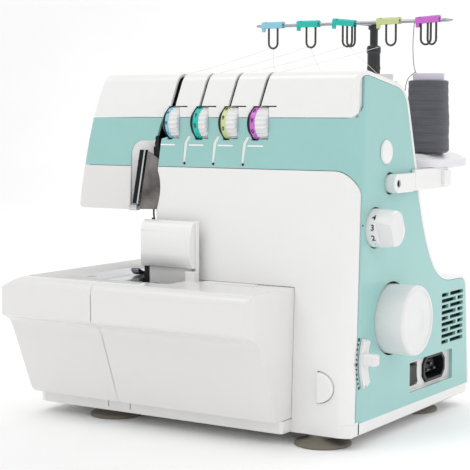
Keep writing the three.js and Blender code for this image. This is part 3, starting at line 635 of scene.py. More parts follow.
def dial_cutters():
    """The stepped window and the thread slot of each dial, and the path of the first thread."""
    tools = []
    for i, x in enumerate(DIAL_XS):
        right = x + DIAL_ENDS[i]
        step = x + DIAL_BANDS[i] - 0.2
        window = [(233.1, x - 1.6), (260, x - 1), (260, step), (259.3, step + 0.4), (259.3, right),
                  (234.1, right), (234.1, step + 0.4), (233.1, step)]
        tools.append(prism("y", window, -20, 40))
        slot = SLOT_FIRST_X + SLOT_PITCH * i
        tools.append(prism("y", box_outline(259.2, 260.2, slot + 3, slot + 17), -20, 30))
        tools.append(slanted(slot, 2.8 if i else 5.2, -20, 22, 259.4, 300))
    # The first thread's path runs on down the left of its dial into the needle recess.
    gap = [(211, -189.8), (232.7, -186.4), (237.9, -185.1), (244.2, -183.2), (252.4, -179.3),
           (259.6, -171.6), (259.6, -165), (236, -172), (233.6, -181.4), (211, -184.2)]
    tools.append(prism("y", gap, -20, 40))
    return tools


def groove_xs():
    """The left edges of the thread grooves at the bottom of the band."""
    return [GROOVE_FIRST_X + SLOT_PITCH * i for i in range(3)]


def groove_cutters():
    """The curved grooves between the dials and the band's edge above the needle recess."""
    tools = []
    for x in groove_xs():
        edge = [(BAND_BOTTOM + 2, x), (BAND_BOTTOM + 20, x + 1.4), (236, x + 4.6)]
        back = [(z, left + 2 + (z - BAND_BOTTOM) * 0.06) for z, left in reversed(edge)]
        tools.append(sheared(prism("y", [*edge, *back], -20, 1.5)))
    recess_edge = [(205, -196), (231, -196), (231, -189), (236, -187), (236, -180.6),
                   (BAND_BOTTOM, -186.6), (205, -187)]
    return [*tools, prism("y", recess_edge, -20, 14)]


def recess_bulge():
    """The front plate's left edge swings right beside the face plate."""
    edge = path((214, -187.8), [(210, -187), (207, -183.6)], [(200, -180.6), (190, -181.2)],
                [(182, -182.2), (176, -184.3)])
    return prism("y", [*edge, (176, -200), (214, -200)], -30, 13.4)


# Regions that share the shell out between its pieces; grow widens them by the gap of a seam.
def plate_region(grow=0.0):
    return front_region(-FAR, WRAP_X + grow, 0, BAND_BOTTOM - SEAM + grow, [0, 0, 18, 0])


def cover_region(grow=0.0):
    return front_region(-FAR, WRAP_X + grow, BAND_TOP + SEAM - grow, FAR, [0, 0, 0, 10])


def top_region(grow=0.0):
    return block(-FAR, 10, -50, TOP_COVER_BACK + grow, BAND_TOP + SEAM - grow, FAR)


def panel_region(margin, start, end):
    """The side panel's space: the casing's side view drawn in by the margin, but open at the foot."""
    outline = inset(OUTLINE, margin)
    return prism("x", [(y, z if z > RIM_TOP + RIM + 1 else RIM_TOP - 1) for y, z in outline], start, end)


def panel_space():
    return panel_region(RIM - 0.35, -WALL - 0.3, 12)


def make_mint_shell(outer, shell):
    """The band across the front and the side panel are one moulding."""
    panel = panel_region(RIM, -WALL, 1)
    band = front_region(-FAR, 10, BAND_BOTTOM + SEAM, BAND_TOP - SEAM)
    corners = front_region(-26, 10, BAND_BOTTOM - 20, BAND_TOP + 12)
    mint = join(clip(copy(shell), join(band, corners)), clip(copy(outer), panel))
    cut(mint, plate_region(0.4), cover_region(0.4), *dial_cutters(), *groove_cutters(), *side_cutters())
    deliver(soften(mint, 0.5, 2), "mint_shell", "casing", MINT,
            ("side_panel", "tension_fascia"))


def make_front_plate(shell):
    front = clip(moved(copy(shell), y=-0.7), plate_region())
    left = COVER_RIGHT + 0.6
    skirt_plan = rounded([(left, -0.7), (0, -0.7), (0, 13), (left, 13)], [0, CORNER, 0, 0], 12)
    skirt = cut(prism("z", skirt_plan, 9, RIM_TOP + 1.5),
                loft([[(-3.2, y, 8), (3, y, 8), (3, y, 11.8)] for y in (3, 20)]))
    join(front, sheared(skirt))
    opening = rounded(box_outline(0, BED_TOP + 0.2, -FAR, COVER_RIGHT + 0.3), [0, 0, 0.6, 0])
    cut(front, prism("y", opening, -40, 60))
    cut(front, block(-FAR, TOWER_LEFT + 0.2, -40, 60, 0, FAR))
    cut(front, prism("y", button_outline(0.5), -20, 20))
    top = BAND_BOTTOM - SEAM
    wall = clip(copy(shell), block(TOWER_LEFT - 1, TOWER_LEFT + 4, -40, 30, BED_TOP + 0.6, top))
    ledge = clip(copy(shell), front_region(-190, TOWER_LEFT + 1, 206, top))
    cut(join(front, wall, ledge), recess_bulge())
    deliver(soften(front, 1.1, 4), "white_front_plate", "casing", WHITE, ("front_plate",))


def make_top_cover(shell):
    lid = clip(copy(shell), join(top_region(), cover_region()))
    cut(lid, panel_space(), *dial_cutters(), block(-FAR, 10, TOP_COVER_BACK, 300, 0, FAR))
    deliver(soften(lid, 0.6, 3), "white_top_cover", "casing", WHITE, ("top_cover",))


def make_head_shell(shell):
    space = block(-FAR, TOWER_LEFT - 0.2, -60, TOP_COVER_BACK, HEAD_BOTTOM - 5, BAND_TOP - SEAM)
    head = clip(copy(shell), space)
    cut(head, front_region(-FAR, 10, BAND_BOTTOM - SEAM, FAR, depth=9.3), recess_bulge())
    # Its darker white is painted shade.
    deliver(soften(head, 0.6, 3), "white_head_shell", "casing", PAINTED_SHADE_WHITE,
            ("head_shell",))


def make_rear_cover(shell):
    back = cut(copy(shell), panel_space(), plate_region(0.4), cover_region(0.4), top_region(0.4))
    cut(back, front_region(-FAR, 10, 0, FAR, depth=9.3))
    cut(back, block(-FAR, TOWER_LEFT + 0.2, -60, TOP_COVER_BACK + 0.4, HEAD_BOTTOM - 5, BAND_TOP + 3))
    cut(back, block(-200, TOWER_LEFT + 8, -20, 120, 0, BED_TOP + 0.5))
    cut(back, disc("y", LIFTER_AXIS, 5.4, 90, 126))
    cut(back, block(-12, 1, 5, 40, RIM_TOP + RIM + 2, BAND_TOP))
    deliver(soften(back, 0.6, 2), "white_rear_cover", "casing", WHITE, ("rear_cover",))


def make_casing():
    outer = soften(case_solid(0), 2.4, 4, 40)
    inner = case_solid(WALL)
    cut(outer, notch())
    shell = cut(copy(outer), inner)
    make_mint_shell(outer, shell)
    for make_piece in (make_front_plate, make_top_cover, make_head_shell, make_rear_cover):
        make_piece(shell)
    for leftover in (outer, shell):
        bpy.data.objects.remove(leftover)


def make_dark_liner():
    """Black sheets as painted shade in the space behind the dial windows, the thread slots and the face
    plate.
    """
    box = cut(block(-187, -66, 14.4, 44, 229.6, 264), block(-185.5, -67.5, 0, 42.5, 231, 262.5))
    behind = block(-192.5, TOWER_LEFT - 0.6, 13.8, 14.8, 203, 236)
    band = clip(
        cut(prism("x", inset(OUTLINE, 5.6), -183, -68), prism("x", inset(OUTLINE, 7), -190, -60)),
        block(-183, -68, 0, 40, 263, 300),
    )
    upper = block(-188.4, TOWER_LEFT - 0.5, 10, 14.2, 226.4, 236)
    deliver(joined([box, join(behind, upper), band]), "dark_dial_liner", "casing", DARK)


def bowl(margin, y):
    """One ring of the needle recess's bowl, at a depth y."""
    left, top = -212 + margin, 232 - margin
    corners = [(160, left), (top, left), (top, -181), (160, -181)]
    return [(px, y, pz) for pz, px in rounded(corners, [0, 12, 0, 0])]


def make_recess_walls():
    """White inner walls of the needle recess and white surrounds of the dials."""
    hollow = loft([bowl(0, 2), bowl(0, 9.4), bowl(10, 18)])
    recess = cut(block(-214, TOWER_LEFT - 0.4, 9.7, 19.4, HEAD_BOTTOM + 1.2, 233.6), hollow)
    cut(recess, block(-189.6, -170, 0, 30, 204, 226), block(-187.8, -170, 0, 30, 225, 240))
    walls = [recess]
    for i, x in enumerate(DIAL_XS):
        right = x + DIAL_ENDS[i]
        back, step, front = x - 9, x + 7, right - 0.15
        space = [(0, back), (15.2, back), (15.2, step), (14.7, step), (14.7, front), (0, front)]
        surround = block(x - 0.8, right + 1.4, 11.6, 24, 232.6, 258.6)
        walls.append(cut(surround, turned("x", DIAL_AXIS, space, 72)))
    deliver(joined(walls), "white_recess_walls", "casing", WHITE)


def make_front_marks():
    """White strips in the grooves, black discs as painted shade in the thread eyes, and thin raised lips
    under the dial windows, coloured white as a painted highlight.
    """
    strips, eye_shades = [], []
    for x in groove_xs():
        strips.append(sheared(block(x - 1, x + 8, 0.5, 2.2, BAND_BOTTOM + 1.6, 237)))
        depth = lean(BAND_BOTTOM + 3)
        # Each eye is a black disc: painted shade in the hole.
        eye_shades.append(disc("y", (BAND_BOTTOM + 3.2, x + 2.1), 1.1, depth - 0.2, depth + 0.9, 20))
    deliver(joined(strips), "white_groove_strips", "casing", WHITE)
    deliver(joined(eye_shades), "dark_groove_eyes", "casing", DARK)

    # A slightly raised lip under each dial window; its white is a painted highlight.
    marks = []
    for i in range(len(DIAL_XS)):
        x = LIP_FIRST_X + SLOT_PITCH * i
        outline = rounded(box_outline(228.3, 229.5, x, x + 14.2), 0.5, 3)
        marks.append(sheared(prism("y", outline, -0.12, 0.4)))
    deliver(joined(marks), "white_index_marks", "casing", LIP_HIGHLIGHT_WHITE)


def make_side_cap():
    profile = [(0, -3), (6.6, -3), (6.6, 0.2), (9.4, 0.2), (9.4, 0.9), (8.8, 1.7), (7, 2.2), (0, 2.5)]
    cap = turned("x", SIDE_CAP, profile)
    deliver(cap, "white_side_cap", "casing", WHITE, ("side_cap",))


def button_outline(margin=0.0):
    """The thumb button seen from the front as (z, x): flat on its left and round on its right."""
    points = [(34 - margin, -29.3 - margin)]
    for i in range(25):
        angle = math.pi - math.pi * i / 24
        points.append((46 + (12 + margin) * math.cos(angle), -29.3 + (14 + margin) * math.sin(angle)))
    points.append((58 + margin, -29.3 - margin))
    return points


def around(centre, radius, degrees):
    """The point at an angle on a circle."""
    angle = math.radians(degrees)
    return centre[0] + radius * math.cos(angle), centre[1] + radius * math.sin(angle)


def ring_sector(centre, inner, outer, middle, half, steps=14):
    """Part of a ring as outline points; the angles are in degrees."""
    points = []
    for radius, order in ((outer, 1), (inner, -1)):
        for i in range(steps + 1):
            points.append(around(centre, radius, middle - order * half + 2 * order * half * i / steps))
    return points


def vent_cutters():
    """Nine rows of two slots, whose gap is staggered from row to row."""
    tools = []
    for row in range(9):
        z = 60 + row * 5
        split = 163 + (27 if row % 2 else 12)
        for y0, y1 in ((160, split - 1.6), (split + 1.6, 203)):
            slot = rounded(box_outline(y0, y1, z - 0.4, z + 2.8), 0.8, 3)
            tools.append(prism("x", slot, -9, 9))
    return tools


def disc(axis, centre, radius, start, end, sides=64):
    return turned(axis, centre, [(0, start), (radius, start), (radius, end), (0, end)], sides)


def side_cutters():
    """The openings of the side panel for everything that is mounted there."""
    slot = ring_sector(FEED_LEVER, FEED_REACH - 2.4, FEED_REACH + 2.4, 180, 20)
    return [
        disc("x", (WHEEL[0] + 1.4, WHEEL[1]), 29.2, -9, 9, 96),
        disc("x", (LENGTH_DIAL[0] + 0.9, LENGTH_DIAL[1]), 16, -9, 9),
        disc("x", (ARM_HUB[0] + 1.2, ARM_HUB[1]), 8.8, -9, 9),
        disc("x", SIDE_CAP, 7, -9, 9),
        prism("x", rounded(box_outline(100, 182, 28, 53.5), 1.5, 4), -9, 9),
        prism("x", slot, -9, 9),
        *vent_cutters(),
    ]


# ---------------------------------------------------------------- base, feet and bed
def base_plan(margin):
    corners = [(BASE_LEFT, -13), (-52.6, -13), (-52.6, 0), (0, 0), (0, 218), (BASE_LEFT, 218)]
    grown = []
    for x, y in corners:
        across = margin if x < -200 else -margin
        along = margin if y < 100 else -margin
        grown.append((x + across, y + along))
    return rounded(grown, [9, 3, 1, 8, 8, 8])


def make_base():
    tray = cut(prism("z", base_plan(0), 9, RIM_TOP), prism("z", base_plan(2.6), 12, 40))
    slits = [block(x, x + 1.1, -16, -9, 12, 30) for x in (-221, -198.6)]
    left, front, back, top = BED_LEFT + 2, -11, 196, BED_TOP - 3.3
    arm = block(left, TOWER_LEFT - 0.4, front, back, 10, top)
    cut(arm, block(left + WALL, TOWER_LEFT + 30, front + WALL, back - WALL, 0, BED_TOP - 3.4 - WALL))
    cut(arm, block(-242, -150, -60, 44, BED_TOP - 9, BED_TOP + 1), block(-200, -170, -30, 20, 60, BED_TOP))
    wedge = loft([[(-d, y, 8), (3, y, 8), (3, y, 8.6 + d)] for y, d in ((4, 3.2), (222, 5.6))])
    cut(join(tray, arm), wedge, *slits)
    deliver(soften(tray, 1.2, 3), "white_base", "casing", WHITE, ("base_tray",))


def make_feet():
    profile = path((0, 0), [(20.8, 0)], [(22.2, 0), (22.2, 1.3)], [(22.1, 2.6), (19, 3.4)],
                   [(13.6, 5), (11.6, 6.2)], [(11, 6.6), (11, 8.9)], [(0, 8.9)], steps=4)
    for side, x in (("left", -231), ("right", -30)):
        for end, y in (("front", 11), ("rear", 165)):
            foot = turned("z", (x, y), profile, 48)
            for r in (8, 14):
                cut(foot, turned("z", (x, y), [(r, -1), (r + 1.4, -1), (r + 1.4, 0.5), (r, 0.5)], 48))
            name = f"foot_{end}_{side}"
            deliver(foot, "rubber_" + name, "casing", RUBBER, (name,))


def make_bed():
    left, front = BED_LEFT, BED_FRONT
    top = prism("z", rounded(box_outline(left, TOWER_LEFT - 0.4, front, 198), 3, 5), BED_BOTTOM, BED_TOP)
    join(top, block(TOWER_LEFT - 5, -169.5, front, -1, BED_BOTTOM, BED_TOP))
    cut(top, block(-243.4, 0, -35.4, 45.4, 0, 200))
    deliver(soften(top, 0.7, 3), "painted_bed", "casing", BED_GREY, ("bed_plate",))


def make_needle_plate():
    """The plate with its slots, its groove and two sunk screws."""
    x, y = NEEDLE
    plate = prism("z", rounded(box_outline(-243, -171, -35, 45), 2, 5), BED_BOTTOM, BED_TOP)
    opening = block(-188.8, -160, POCKET_FRONT, -2.6, 90, 140)
    slots = [block(x - 5.5, x + 5.5, y - 2, y + 2, 0, 200), block(-180.2, -173.4, -18, 6, 0, 200)]
    for fx in FEED_XS:
        slots.append(block(fx - 1.7, fx + 1.7, y - 10, y - 4, 0, 200))
        slots.append(block(fx - 1.7, fx + 1.7, y + 5, y + 18, 0, 200))
    places = ((-228, 33), (-228, -24))
    holes = [disc("z", place, 3.6, BED_TOP - 1.2, 130, 32) for place in places]
    groove = block(-208.4, -207.6, -34, 44, BED_TOP - 0.5, 130)
    soften(cut(plate, opening, *slots, *holes, groove), 0.35, 2)
    screws = []
    profile = [(0, BED_BOTTOM), (3.3, BED_BOTTOM), (3.3, BED_TOP - 0.5), (2.8, BED_TOP - 0.1),
               (0, BED_TOP - 0.1)]
    for sx, sy in places:
        drive = block(sx - 4, sx + 4, sy - 0.45, sy + 0.45, BED_TOP - 1, BED_TOP + 1)
        screws.append(cut(turned("z", (sx, sy), profile, 32), drive))
    deliver(joined([plate, *screws]), "polished_needle_plate", "casing", PLATE_STEEL,
            ("needle_plate",))


# ---------------------------------------------------------------- looper cover and bed extension
def cover_outline():
    """Side view of the cover as (y, z), clockwise from the bottom of its back edge."""
    return path(
        (-15, 19.8), [(-24, 19.8)], [(-44.6, 75)], [(-47.6, 84), (-54, 86.4)], [(-58.8, 88.2), (-60, 90.5)],
        [(-60, 111.5)], [(-60, 120.8), (-49.5, 120.8)], [(-1, 120.8)], [(-1, 100)], [(-15, 86)],
    )


def cover_hollow(outline, x0, x1):
    """The room inside the cover or the extension."""
    hollow = prism("x", inset(outline, WALL), x0, x1)
    return join(hollow, block(x0, x1, -19, 5, 24, BED_TOP - WALL - 0.2))


def seam_tool(side, gap=0.24):
    """Everything left (-1) or right (1) of the seam, which runs to the right below the step."""
    edge = [(0, SEAM_X - 0.6), (76, SEAM_X - 0.4), (90, SEAM_X), (200, SEAM_X)]
    shifted = [(z, x + side * gap) for z, x in edge]
    far = SEAM_X + side * 300
    return prism("y", [*shifted, (200, far), (0, far)], -90, 40)


def make_looper_cover():
    outline = cover_outline()
    plan = rounded([(-320, -60), (COVER_RIGHT, -60), (COVER_RIGHT, 60), (-320, 60)], [0, 7, 0, 0], 10)
    body = clip(prism("x", outline, -230, COVER_RIGHT), prism("z", plan, 0, 200))
    end_outline = [(-16, 19.6), (lean(20) + 0.8, 19.6), (lean(118) + 1.8, 118), (-16, 120)]
    end = prism("x", end_outline, COVER_RIGHT - 4, COVER_RIGHT)
    soften(join(body, end), 2.2, 4, 30)
    cut(body, cover_hollow(outline, -240, COVER_RIGHT - WALL))
    cut(body, block(-250, -169.1, BED_FRONT - 0.4, 10, BED_TOP - 3.4, BED_TOP + 5), seam_tool(-1))
    post = block(-145.4, -136.4, -10, -2, BED_TOP - 1, 129, 0.9)
    fence = cut(block(-183.4, -143, -5, -3, 108, 130.6), block(-180.4, -172.6, -9, 0, 100, 117.4))
    foot = block(-168.6, -140, -7, -3, BED_TOP - 1, BED_TOP + 0.8)
    ridge = block(-128, -80, -9.5, -3, BED_TOP - 1.2, BED_TOP + 1.1, 0.9)
    back = block(-168.6, COVER_RIGHT - 0.2, -3, lean(BED_TOP) + 2.2, 118, BED_TOP - 0.2)
    cut(join(body, foot, ridge, back), block(-192, -146.4, POCKET_FRONT, -5, 90, 140))
    join(body, post, fence)
    # Its darker white is painted shade.
    deliver(soften(body, 0.4, 2, 50), "white_looper_cover", "looper_cover", PAINTED_SHADE_WHITE,
            ("looper_cover",))
    # A black block as painted shade in the gap left of the guard's pocket.
    dark = block(-188.4, -183.6, -5.4, -3.4, 108, 130.6)
    deliver(soften(dark, 0.15, 1), "dark_guard_cheek", "looper_cover", DARK)
    hinge = [disc("x", (-15, 22.2), 2.2, x, x + 14, 24) for x in (-188, -74)]
    deliver(joined(hinge), "cover_hinge_pins", "looper_cover", BAR_STEEL)


def extension_end(margin):
    """Keeps what lies right of the end face, which leans in below the step and above the side."""
    left = EXTENSION_LEFT
    edge = [(0, left + 8), (19.8, left + 5.8), (20.6, left + 4.2), (22.2, left + 3), (25, left + 2.3),
            (84, left), (111, left), (124, left + 23), (124, -150), (0, -150)]
    return prism("y", [(z, x + margin if x < -200 else x) for z, x in edge], -90, 140)


def make_bed_extension():
    outline = cover_outline()
    left, back = EXTENSION_LEFT, 120
    shell = prism("x", outline, left, SEAM_X + 20)
    side = block(left, BED_LEFT - 0.6, -44, back, 26, BED_TOP - 0.2)
    front_edge = [(-60, 20), (-22, 20), (-41, 76), (-44, 90), (-60, 90)]
    join(shell, cut(side, prism("x", front_edge, left - 5, -270)))
    plan = rounded([(left, -60), (-100, -60), (-100, back), (left, back)], [3, 0, 0, 4], 8)
    clip(shell, extension_end(0), prism("z", plan, 0, 200))
    soften(shell, 2.0, 4, 28)
    hollow = join(cover_hollow(outline, left, SEAM_X + 30),
                  block(left, -270, -20, back - WALL, 20, BED_TOP - 3.2))
    cut(shell, clip(hollow, extension_end(WALL)), seam_tool(1))
    cut(shell, block(-279.5, -150, BED_FRONT - 0.4, 130, BED_TOP - 3.4, BED_TOP + 5))
    cut(shell, block(-279.8, -150, -14, 130, 0, 200))
    # Its darker white is painted shade.
    deliver(soften(shell, 0.4, 2, 50), "white_bed_extension", "bed_extension", PAINTED_SHADE_WHITE,
            ("bed_extension",))


def make_button():
    body = soften(prism("y", button_outline(), -2.4, 6), 1.5, 5)
    deliver(body, "white_cover_button", "cover_button", WHITE, ("cover_button",))


def make_guard():
    """The knife guard: a thin shell with a slightly barrelled front, and its hinge flange."""
    left, right, bottom, top = GUARD_LEFT, GUARD_RIGHT, 131, 168.4
    front = path((0, top - 1.4), [(0, top), (-2, top)], [(-7, top - 0.4), (-9, top - 5)],
                 [(-13, 154), (-12.4, 142)], [(-11.4, 135), (-7.6, bottom)], steps=10)
    shell = prism("x", [*front, (0, bottom)], left, right)
    plan = rounded(box_outline(left, right, -13, 30), [5, 0.6, 0, 0], 10)
    clip(shell, prism("z", plan, 120, 180))
    soften(shell, 0.9, 4, 30)
    room = [(y + 1.9, z - 1.6) for y, z in front]
    cut(shell, prism("x", [*room, (4, top - 3), (4, 100), (room[-1][0], 100)], left + 1.8, right - 1.8))
    flange = block(right - 0.2, right + 1.6, -4.6, -0.4, bottom - 4, top + 0.4, 0.6)
    deliver(soften(join(shell, flange), 0.25, 2, 50), "white_knife_guard", "knife_guard", WHITE,
            ("knife_guard",))


# ---------------------------------------------------------------- controls on the right side
def numeral(text, size, place):
    """A printed figure: the outline of the text, thickened and wrapped by place(u, v, depth)."""
    curve = bpy.data.curves.new("figure", "FONT")
    curve.body = text
    curve.size = size
    curve.align_x = "CENTER"
    curve.align_y = "CENTER"
    curve.extrude = 0.12
    curve.offset = 0.16
    curve.resolution_u = 3
    letter = bpy.data.objects.new("figure", curve)
    bpy.context.scene.collection.objects.link(letter)
    bpy.context.view_layer.update()
    mesh = bpy.data.meshes.new_from_object(letter.evaluated_get(bpy.context.evaluated_depsgraph_get()))
    bpy.data.objects.remove(letter)
    for vertex in mesh.vertices:
        vertex.co = place(*vertex.co)
    made = bpy.data.objects.new("figure", mesh)
    bpy.context.scene.collection.objects.link(made)
    return made


def make_handwheel():
    rim = path((0, -2), [(27.4, -2)], [(27.6, 21.4)], [(27.5, 23.3), (25.8, 23.9)],
               [(24.6, 24), (24.2, 23.6)], [(23.6, 22.9)], [(12, 22.9)], [(11.2, 22.4)], [(0, 22.4)], steps=6)
    wheel = turned("x", WHEEL, rim, 128)
    marks = [disc("x", around(WHEEL, 27.8, 118 + 7 * i), 0.5, 6, 19, 10) for i in range(3)]
    deliver(cut(wheel, *marks), "white_handwheel", "drive", CONTROL_WHITE, ("handwheel",))
    # A black disc behind the wheel: painted shade in the gap round it.
    ring = turned("x", WHEEL, [(0, -3.2), (33, -3.2), (33, -4.2), (0, -4.2)], 96)
    deliver(ring, "dark_wheel_recess", "casing", DARK)


def make_length_dial():
    y, z = LENGTH_DIAL
    profile = path((0, -2.4), [(14.8, -2.4)], [(15, -2.4), (15, -1.8)], [(14.7, 8)], [(13.9, 17.6)],
                   [(13.6, 20), (11, 20)], [(0, 20)], steps=5)
    knob = turned("x", LENGTH_DIAL, profile, 96)
    for angle in (25, 205):
        cut(knob, posed(block(8.4, 24, 10.4, 20, -20, 20), angle, y, z))
    deliver(soften(knob, 0.5, 3, 35), "white_stitch_dial", "stitch_length_dial", CONTROL_WHITE,
            ("stitch_length_dial",))

    figures = []
    for text, degrees in (("4", 216), ("3", 184), ("2", 152), ("1", 120)):
        def place(u, v, depth, degrees=degrees):
            angle = math.radians(degrees) + v / 14.9
            radius = 14.75 + depth
            return Vector((5.6 + u, y + radius * math.cos(angle), z - radius * math.sin(angle)))
        figures.append(numeral(text, 6.4, place))
    deliver(joined(figures), "stitch_dial_figures", "stitch_length_dial", PRINT)
    dot = disc("x", (17.2, 170), 0.75, -0.2, 0.12, 20)
    deliver(dot, "stitch_dial_index", "casing", PRINT)
    # A black disc behind the stitch dial: painted shade in the gap round it.
    recess = turned("x", LENGTH_DIAL, [(0, -3.2), (19, -3.2), (19, -2.7), (0, -2.7)], 64)
    deliver(recess, "dark_dial_recess", "casing", DARK)


def make_feed_lever():
    """A sickle-shaped blade on the panel's face, a grip, and the hub and spoke behind the panel."""
    y, z = FEED_LEVER
    near, far = y - FEED_REACH + 2, y - FEED_REACH - 2
    sector = ring_sector(FEED_LEVER, FEED_REACH - 7.6, FEED_REACH + 3, 180, 28.6, 24)
    blade = prism("x", sector, 0.35, 2.8)
    for degrees in (148.4, 211.6):
        cut(blade, posed(block(-5, 5, -4, 4, -4, 4), 45, *around(FEED_LEVER, 42, degrees)))
    soften(blade, 0.9, 3)
    grip = block(0.6, 14, y - FEED_REACH - 1.6, y - FEED_REACH + 6, z - 1.4, z + 7.8, 2, 4)
    hub = disc("x", FEED_LEVER, 7, -12, -6)
    spoke = block(-9, -6, y - FEED_REACH, y, z - 2, z + 2)
    link = block(-9, 1, far, near, z - 2, z + 2)
    deliver(joined([join(blade, grip), hub, spoke, link]), "white_feed_lever", "feed_lever",
            CONTROL_WHITE, ("feed_lever",))
    marks = []
    for i in range(11):
        centre = around(FEED_LEVER, FEED_REACH + 5.6, 180 + 24 - 4.8 * i)
        marks.append(disc("x", centre, 0.85 if i % 5 else 1.3, -0.2, 0.1, 16))
    deliver(joined(marks), "feed_lever_scale", "casing", PRINT)


def octagon(y0, y1, z0, z1, corner):
    """A rectangle as (y, z) with its four corners cut off."""
    return [(y0 + corner, z0), (y1 - corner, z0), (y1, z0 + corner), (y1, z1 - corner),
            (y1 - corner, z1), (y0 + corner, z1), (y0, z1 - corner), (y0, z0 + corner)]


def make_inlet():
    """The sunk panel with the mains inlet and its three pins."""
    pan = cut(block(-12, -3, 96, 186, 24, 57.5), block(-4.6, 0, 100, 182, 28, 53.5))
    inlet_hole = prism("x", octagon(131.8, 174.4, 30.2, 53, 6), -20, 0)
    cut(pan, block(-20, 0, 106.2, 123, 31.4, 50.6), inlet_hole)
    deliver(soften(pan, 0.5, 3), "pale_inlet_panel", "casing", PALE_GREY,
            ("inlet_panel",))
    body = prism("x", octagon(132.2, 174, 30.6, 52.6, 6), -30, -2.8)
    cut(body, prism("x", octagon(135.2, 171, 33.2, 50, 4.6), -20, 0))
    soften(body, 0.6, 3)
    island = prism("x", octagon(141.4, 165, 36.6, 46.8, 2), -21, -9)
    deliver(joined([body, soften(island, 0.4, 2)]), "black_mains_inlet", "casing", BLACK,
            ("mains_inlet",))
    places = ((146.8, 39.4), (159.6, 39.4), (153.2, 44.2))
    pins = [block(-22, -6, y - 2, y + 2, z - 1, z + 1, 0.4, 2) for y, z in places]
    deliver(joined(pins), "mains_inlet_pins", "casing", LOOP_STEEL)


def make_power_switch():
    profile = path((-12, 33.4), [(-3.2, 33.4)], [(-5, 41), (-4, 48.6)], [(-12, 48.6)], steps=8)
    rocker = soften(prism("y", [(z, x) for x, z in profile], 106.8, 122.4), 0.7, 3)
    deliver(rocker, "black_power_switch", "power_switch", BLACK, ("power_switch",))


def make_vent_backing():
    # A black sheet behind the vent slots: painted shade.
    shade_sheet = prism("x", box_outline(158, 205, 57, 106), -6, -4.4)
    deliver(soften(shade_sheet, 0.3, 1), "dark_vent_backing", "casing", DARK)


# ---------------------------------------------------------------- tension dials
def make_dials():
    """Each tension dial: a coloured band with figures, a dark flange and a knurled grip."""
    y, z = DIAL_AXIS
    for i, (name, x, width) in enumerate(zip(DIAL_NAMES, DIAL_XS, DIAL_BANDS)):
        body = f"tension_dial_{name}"
        start = x - 0.6
        end = start + width
        band = path((0, start), [(13, start)], [(13.7, start), (DIAL_RADIUS, x + 0.1)],
                    [(DIAL_RADIUS, end - 0.6)], [(13.7, end), (13, end)], [(0, end)], steps=3)
        deliver(turned("x", DIAL_AXIS, band, 96), f"{name}_dial_band", body, DIAL_COLOURS[name],
                (body,))
        flange = [(0, x - 1.5), (DIAL_RADIUS, x - 1.5), (14.2, x - 1.2), (14.2, x - 0.5), (0, x - 0.5)]
        deliver(turned("x", DIAL_AXIS, flange, 96), f"{name}_dial_flange", body, BLACK)
        grip = knurled_grip(end, x + DIAL_ENDS[i] - 0.35)
        deliver(grip, f"{name}_dial_grip", body, CONTROL_WHITE)

        middle = start + width / 2
        figures = []
        for k in range(10):
            def place(u, v, depth, k=k):
                angle = math.radians(36 * k + 9 * i) - v / DIAL_RADIUS
                radius = DIAL_RADIUS - 0.05 + depth
                return Vector((middle + u, y - radius * math.cos(angle), z - radius * math.sin(angle)))
            figures.append(numeral(str(k), min(5, width), place))
        deliver(joined(figures), f"{name}_dial_figures", body, PRINT)


def make_tension_discs():
    """Springs and tension discs on each spindle, seen through the windows."""
    parts = []
    for x in DIAL_XS:
        parts.append(disc("x", DIAL_AXIS, 3, x - 7, x - 1, 24))
        for k in range(2):
            start = x - 4.2 + 1.6 * k
            profile = [(0, start), (11, start), (12, start + 0.5), (11, start + 1), (0, start + 1)]
            parts.append(turned("x", DIAL_AXIS, profile, 48))
    deliver(joined(parts), "tension_discs", "casing", BAR_STEEL)


def knurled_grip(start, end, teeth=22):
    """The thumb wheel: a smooth collar, then rounded teeth."""
    y, z = DIAL_AXIS
    sides = teeth * 10
    levels = [(start, 13.5, 0.2), (start + 0.5, 13.5, 0.6), (end - 1.4, 13.2, 0.8),
              (end - 0.5, 12.6, 0.8), (end, 11.6, 0.3)]
    rings = []
    for x, radius, depth in levels:
        ring = []
        for k in range(sides):
            angle = 2 * math.pi * k / sides
            wave = max(-0.55, math.cos(teeth * angle)) + 0.55
            r = radius - depth * (1.55 - wave)
            ring.append((x, y + r * math.cos(angle), z + r * math.sin(angle)))
        rings.append(ring)
    return loft(rings)


# ---------------------------------------------------------------- needles, foot, knives and loopers
def face_plate_edge(z):
    """The x of the face plate's bright edge, which leans right as it rises."""
    return -202.4 + 0.184 * (z - 181)


def make_face_plate():
    """A leaning black front with a bright edge, and a smoked steel sheet curving back."""
    def bar(start, end, front, back):
        rings = []
        for z in (180.4, 190, 206, 218, 224.6):
            edge = face_plate_edge(z)
            rings.append([(edge + start, front, z), (edge + end, front, z), (edge + end, back, z),
                          (edge + start, back, z)])
        return loft(rings)

    deliver(soften(bar(-4.6, 0, 3.4, 5), 0.25, 2), "black_face_plate_front", "casing", INK_BLUE)
    bright = soften(bar(0, 1.5, 2.9, 7), 0.3, 2)
    foot = block(-211, -203, 3.4, 9, 174.6, 179.4, 0.8)
    deliver(joined([bright, foot]), "chrome_face_plate_edge", "casing", CHROME)
    rings = []
    for z in (175.6, 186, 196, 206, 214, 219, 223.6):
        left = face_plate_edge(z) + 1.6
        right = -182.8 if 184 < z < 204 else -184.6
        drop = 8 * max(0, z - 212) / 11.6
        row = []
        for t in (0, 0.15, 0.35, 0.6, 0.8, 1):
            row.append((left + (right - left) * t, 6 + 6.6 * math.sin(t * math.pi / 2), z - drop * t))
        rings.append([*row, *[(px, py + 1.1, pz) for px, py, pz in reversed(row)]])
    sheet = soften(loft(rings), 0.3, 2, 50)
    side = block(-203.8, -202, 7, 17.8, HEAD_BOTTOM + 3, 216)
    deliver(joined([sheet, soften(side, 0.4, 2)]), "smoked_face_plate", "casing", SMOKED_STEEL,
            ("face_plate",))


